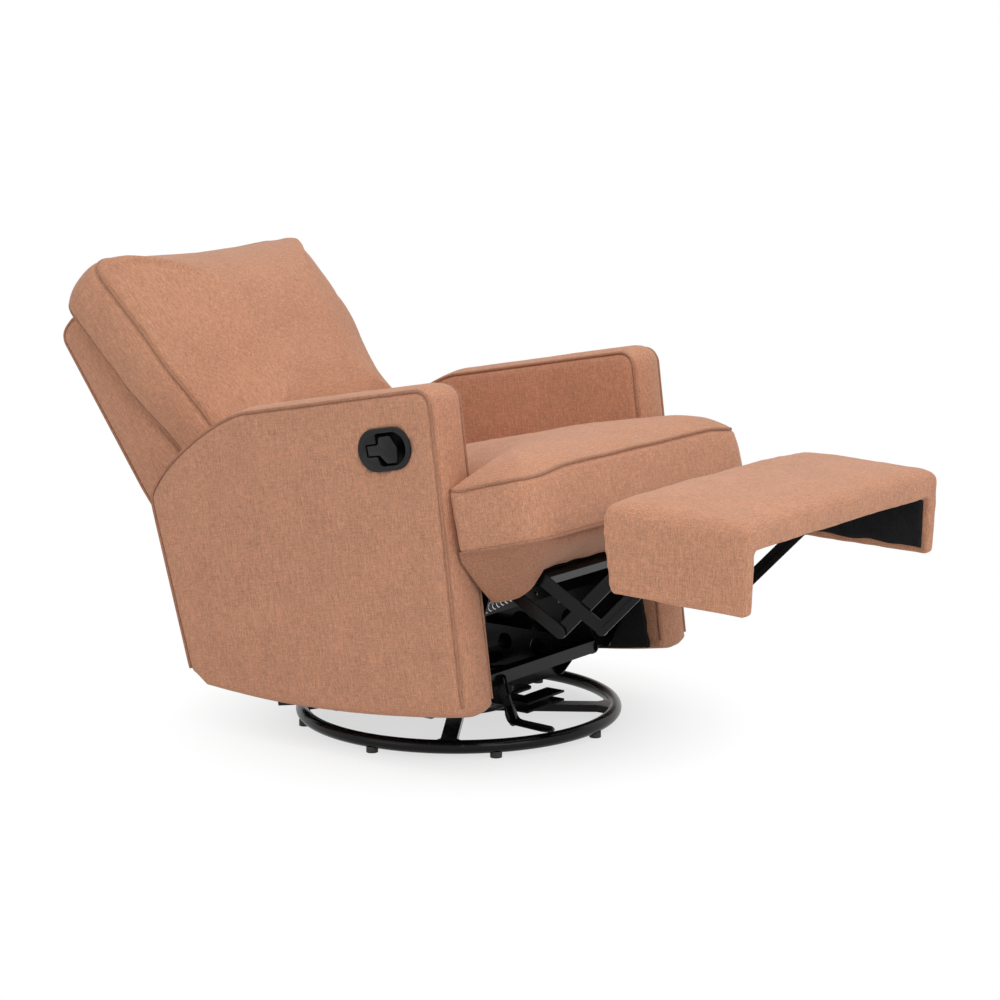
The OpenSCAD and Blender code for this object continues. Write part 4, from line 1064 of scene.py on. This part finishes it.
# Pull handle: an oval escutcheon with a T-shaped opening, and the T-shaped lever that fills it
handle = {
    "forward": 0.227, "up": 0.530, "face": -0.3698, "length": 0.119, "height": 0.0765, "rim": 0.0035,
    "depth": 0.0320, "floor": 0.0020, "cupLength": 0.108, "cupHeight": 0.065,
    "lever": {"out": -0.3690, "thick": 0.0050},
}


def overHandle(name, outline, low, high, body="seat"):
    return slab(name, outline, low, high, lambda t, a, b: (t, -handle["forward"] - a, handle["up"] + b),
                "handle_plastic", body)


opening = (arc((0.019, 0), 0.0295, -90, 90, 18) + arc((-0.012, 0.0245), 0.005, 90, 180, 4)
           + [(-0.017, 0.0115), (-0.0405, 0.0115), (-0.0405, -0.0115), (-0.017, -0.0115)]
           + arc((-0.006, -0.0205), 0.009, 180, 270, 4))
face, depth = handle["face"], handle["depth"]
bezel = overHandle("handleBezel", ovalShape(handle["length"], handle["height"]), face, face + handle["rim"])
well = ovalShape(handle["cupLength"], handle["cupHeight"])
cut(bezel, overHandle("handleWell", well, face + 0.001, face + depth + handle["floor"]), "UNION")
cut(bezel, overHandle("handleOpening", opening, face - 0.01, face + depth))
settle(edged(bezel, 0.0011), seatPlace)
finished(bezel, ["handle_bezel"])
crest = [tuple(seatPlace @ Vector((face + 0.0006, -handle["forward"] - u, handle["up"] + w)))
         for u, w in ovalShape(handle["length"] - 0.007, handle["height"] - 0.007)]
finished(tubes("handleRidge", [crest], 0.0012, "handle_plastic", "seat"))

leverShape = [(-0.0375, -0.0092), (-0.0375, 0.0092), (-0.0150, 0.0092), (-0.0115, 0.0130), (-0.0105, 0.0205),
              (-0.0075, 0.0232), (0.0130, 0.0232), (0.0165, 0.0212), (0.0270, 0.0030), (0.0280, -0.0010),
              (0.0255, -0.0225), (0.0215, -0.0252), (0.0040, -0.0252), (0.0000, -0.0230), (-0.0105, -0.0110),
              (-0.0135, -0.0092)]
low = handle["lever"]["out"]
paddle = overHandle("handleLever", leverShape[::-1], low, low + handle["lever"]["thick"], "handle")
settle(edged(paddle, 0.0009), seatPlace)
finished(paddle, ["handle_lever"])
print("handle done")

# Lock pedal: a flat bent strap on the lever, from below its clevis to the toe
pedal = {"x": -0.108, "half": 0.0170, "thick": 0.0030,
         "path": ((-0.1965, 0.0730), (-0.207, 0.045), (-0.268, 0.0424), (-0.2965, 0.0412))}


def pedalStrap(p):
    line = evenly(p["path"], 0.003, closed=False)
    for _ in range(10):
        line[1:-1] = (line[:-2] + 2 * line[1:-1] + line[2:]) / 4
    ahead = np.gradient(line, axis=0)
    ahead /= np.linalg.norm(ahead, axis=1)[:, None]
    side = np.column_stack([-ahead[:, 1], ahead[:, 0]]) * p["thick"] / 2
    points, faces = [], []
    left = np.linalg.norm(line - line[-1], axis=1)
    for i in range(len(line)):
        half = p["half"] * math.sqrt(max(0.08, 1 - max(0, 1 - left[i] / p["half"]) ** 2))
        half *= 0.75 + 0.25 * min(1, i / 5)
        for x, sign in ((-half, 1), (half, 1), (half, -1), (-half, -1)):
            y, z = line[i] + side[i] * sign
            points.append((p["x"] + x, y, z))
    for i in range(len(line) - 1):
        faces += [(4 * i + k, 4 * i + (k + 1) % 4, 4 * i + 4 + (k + 1) % 4, 4 * i + 4 + k) for k in range(4)]
    faces += [(0, 1, 2, 3), tuple(4 * len(line) - 4 + k for k in range(4))]
    return newPiece("lockPedal", points, faces, "black_frame", "lock_pedal", smooth=False)


finished(edged(pedalStrap(pedal), 0.0007))
print("pedal done")

# CAD nodes that keep their shape: softened edges and their own finish
plain = {
    "black_frame": ["floor_ring", "swivel_plate", "glide_stands", "stand_rails", "lock_lever", "glide_rails",
                    "carriage_rails", "mechanism_plates", "back_brackets"],
    "black_links": ["front_glide_links", "rear_glide_links", "main_links", "control_links", "front_links",
                    "carrier_links", "torque_tube", "footrest_brackets"],
    "bearing_steel": ["swivel_lower_race", "swivel_upper_race", "swivel_bolt"],
    "ball_steel": ["swivel_balls"],
    "seat_wood": ["seat_side_rails", "seat_cross_boards"],
    "floor_rubber": ["floor_pads"],
}
for finish, names in plain.items():
    for name in names:
        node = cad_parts[name]
        dress(node, finish)
        if name != "swivel_balls":
            withModifier(node, "WELD", merge_threshold=1e-5)
            withModifier(node, "BEVEL", width=0.0008 if finish == "seat_wood" else 0.0004, segments=2,
                         limit_method="ANGLE", angle_limit=math.radians(32), harden_normals=True)
print("CAD nodes dressed")

# Camera at the photograph's viewing angle
view = {"place": (-4.0309, -3.0373, 1.3543), "turn": -53.90, "down": 10.473, "lens": 97.41}
camera = bpy.data.objects.new("camera", bpy.data.cameras.new("camera"))
camera.data.lens = view["lens"]
camera.data.sensor_width = 36
camera.data.clip_end = 60
camera.location = view["place"]
camera.rotation_euler = (math.radians(90 - view["down"]), 0, math.radians(view["turn"]))
scene.collection.objects.link(camera)
scene.camera = camera

# Soft studio light: a wide overhead panel, a broad key from the camera's side, a low fill
lights = {
    "overhead": {"place": (-0.4, -0.6, 3.4), "aim": (0, 0, 0.3), "size": (3.6, 3.6), "power": 52},
    "key": {"place": (-1.2, -3.6, 2.2), "aim": (0, -0.2, 0.4), "size": (2.4, 2.0), "power": 34},
    "side": {"place": (-4.0, 0.8, 1.6), "aim": (0, 0, 0.4), "size": (2.2, 2.2), "power": 14},
}
for name, lamp in lights.items():
    data = bpy.data.lights.new(name, "AREA")
    data.shape = "RECTANGLE"
    data.size, data.size_y = lamp["size"]
    data.energy = lamp["power"]
    light = bpy.data.objects.new(name, data)
    light.location = lamp["place"]
    aim = Vector(lamp["aim"]) - Vector(lamp["place"])
    light.rotation_euler = aim.to_track_quat("-Z", "Y").to_euler()
    scene.collection.objects.link(light)

studio = {"light": 0.50, "floorSize": 9.0, "floorAt": -0.0004, "floor": 0.86,
          "fadeFrom": 0.26, "fadeTo": 0.56, "lift": 0.66}
world = bpy.data.worlds.new("studio")
scene.world = world
air = Paint("studio air", world)
sky = air.add("ShaderNodeBackground", None, (1, 1, 1, 1), studio["light"])
white = air.add("ShaderNodeBackground", None, (1, 1, 1, 1), 1.0)
air.shown(air.seenStraight(), sky, white)

half = studio["floorSize"]
corners = [(x, y, studio["floorAt"]) for x, y in ((-half, -half), (half, -half), (half, half), (-half, half))]
floor = newPiece("studioFloor", corners, [(0, 1, 2, 3)], "black_frame", "base", smooth=False)
ground = Paint("studio floor")
ground.surface(Base_Color=(studio["floor"],) * 3 + (1,), Roughness=1.0, Specular_IOR_Level=0.0)
spot = ground.add("ShaderNodeTexCoord", out=3)
reach = ground.add("ShaderNodeVectorMath", {"operation": "LENGTH"}, spot, out=1)
far = reach.above(studio["fadeFrom"], studio["fadeTo"] - studio["fadeFrom"])
glow = ground.add("ShaderNodeEmission", None, (1, 1, 1, 1), 1.0)
lift = (far * (1 - studio["lift"]) + studio["lift"]) * ground.seenStraight()
ground.shown(lift, Value(ground, ground.shader.outputs[0]), glow)
floor.data.materials.clear()
floor.data.materials.append(ground.material)
scene.view_settings.view_transform = "Standard"
print("camera, light and floor done")
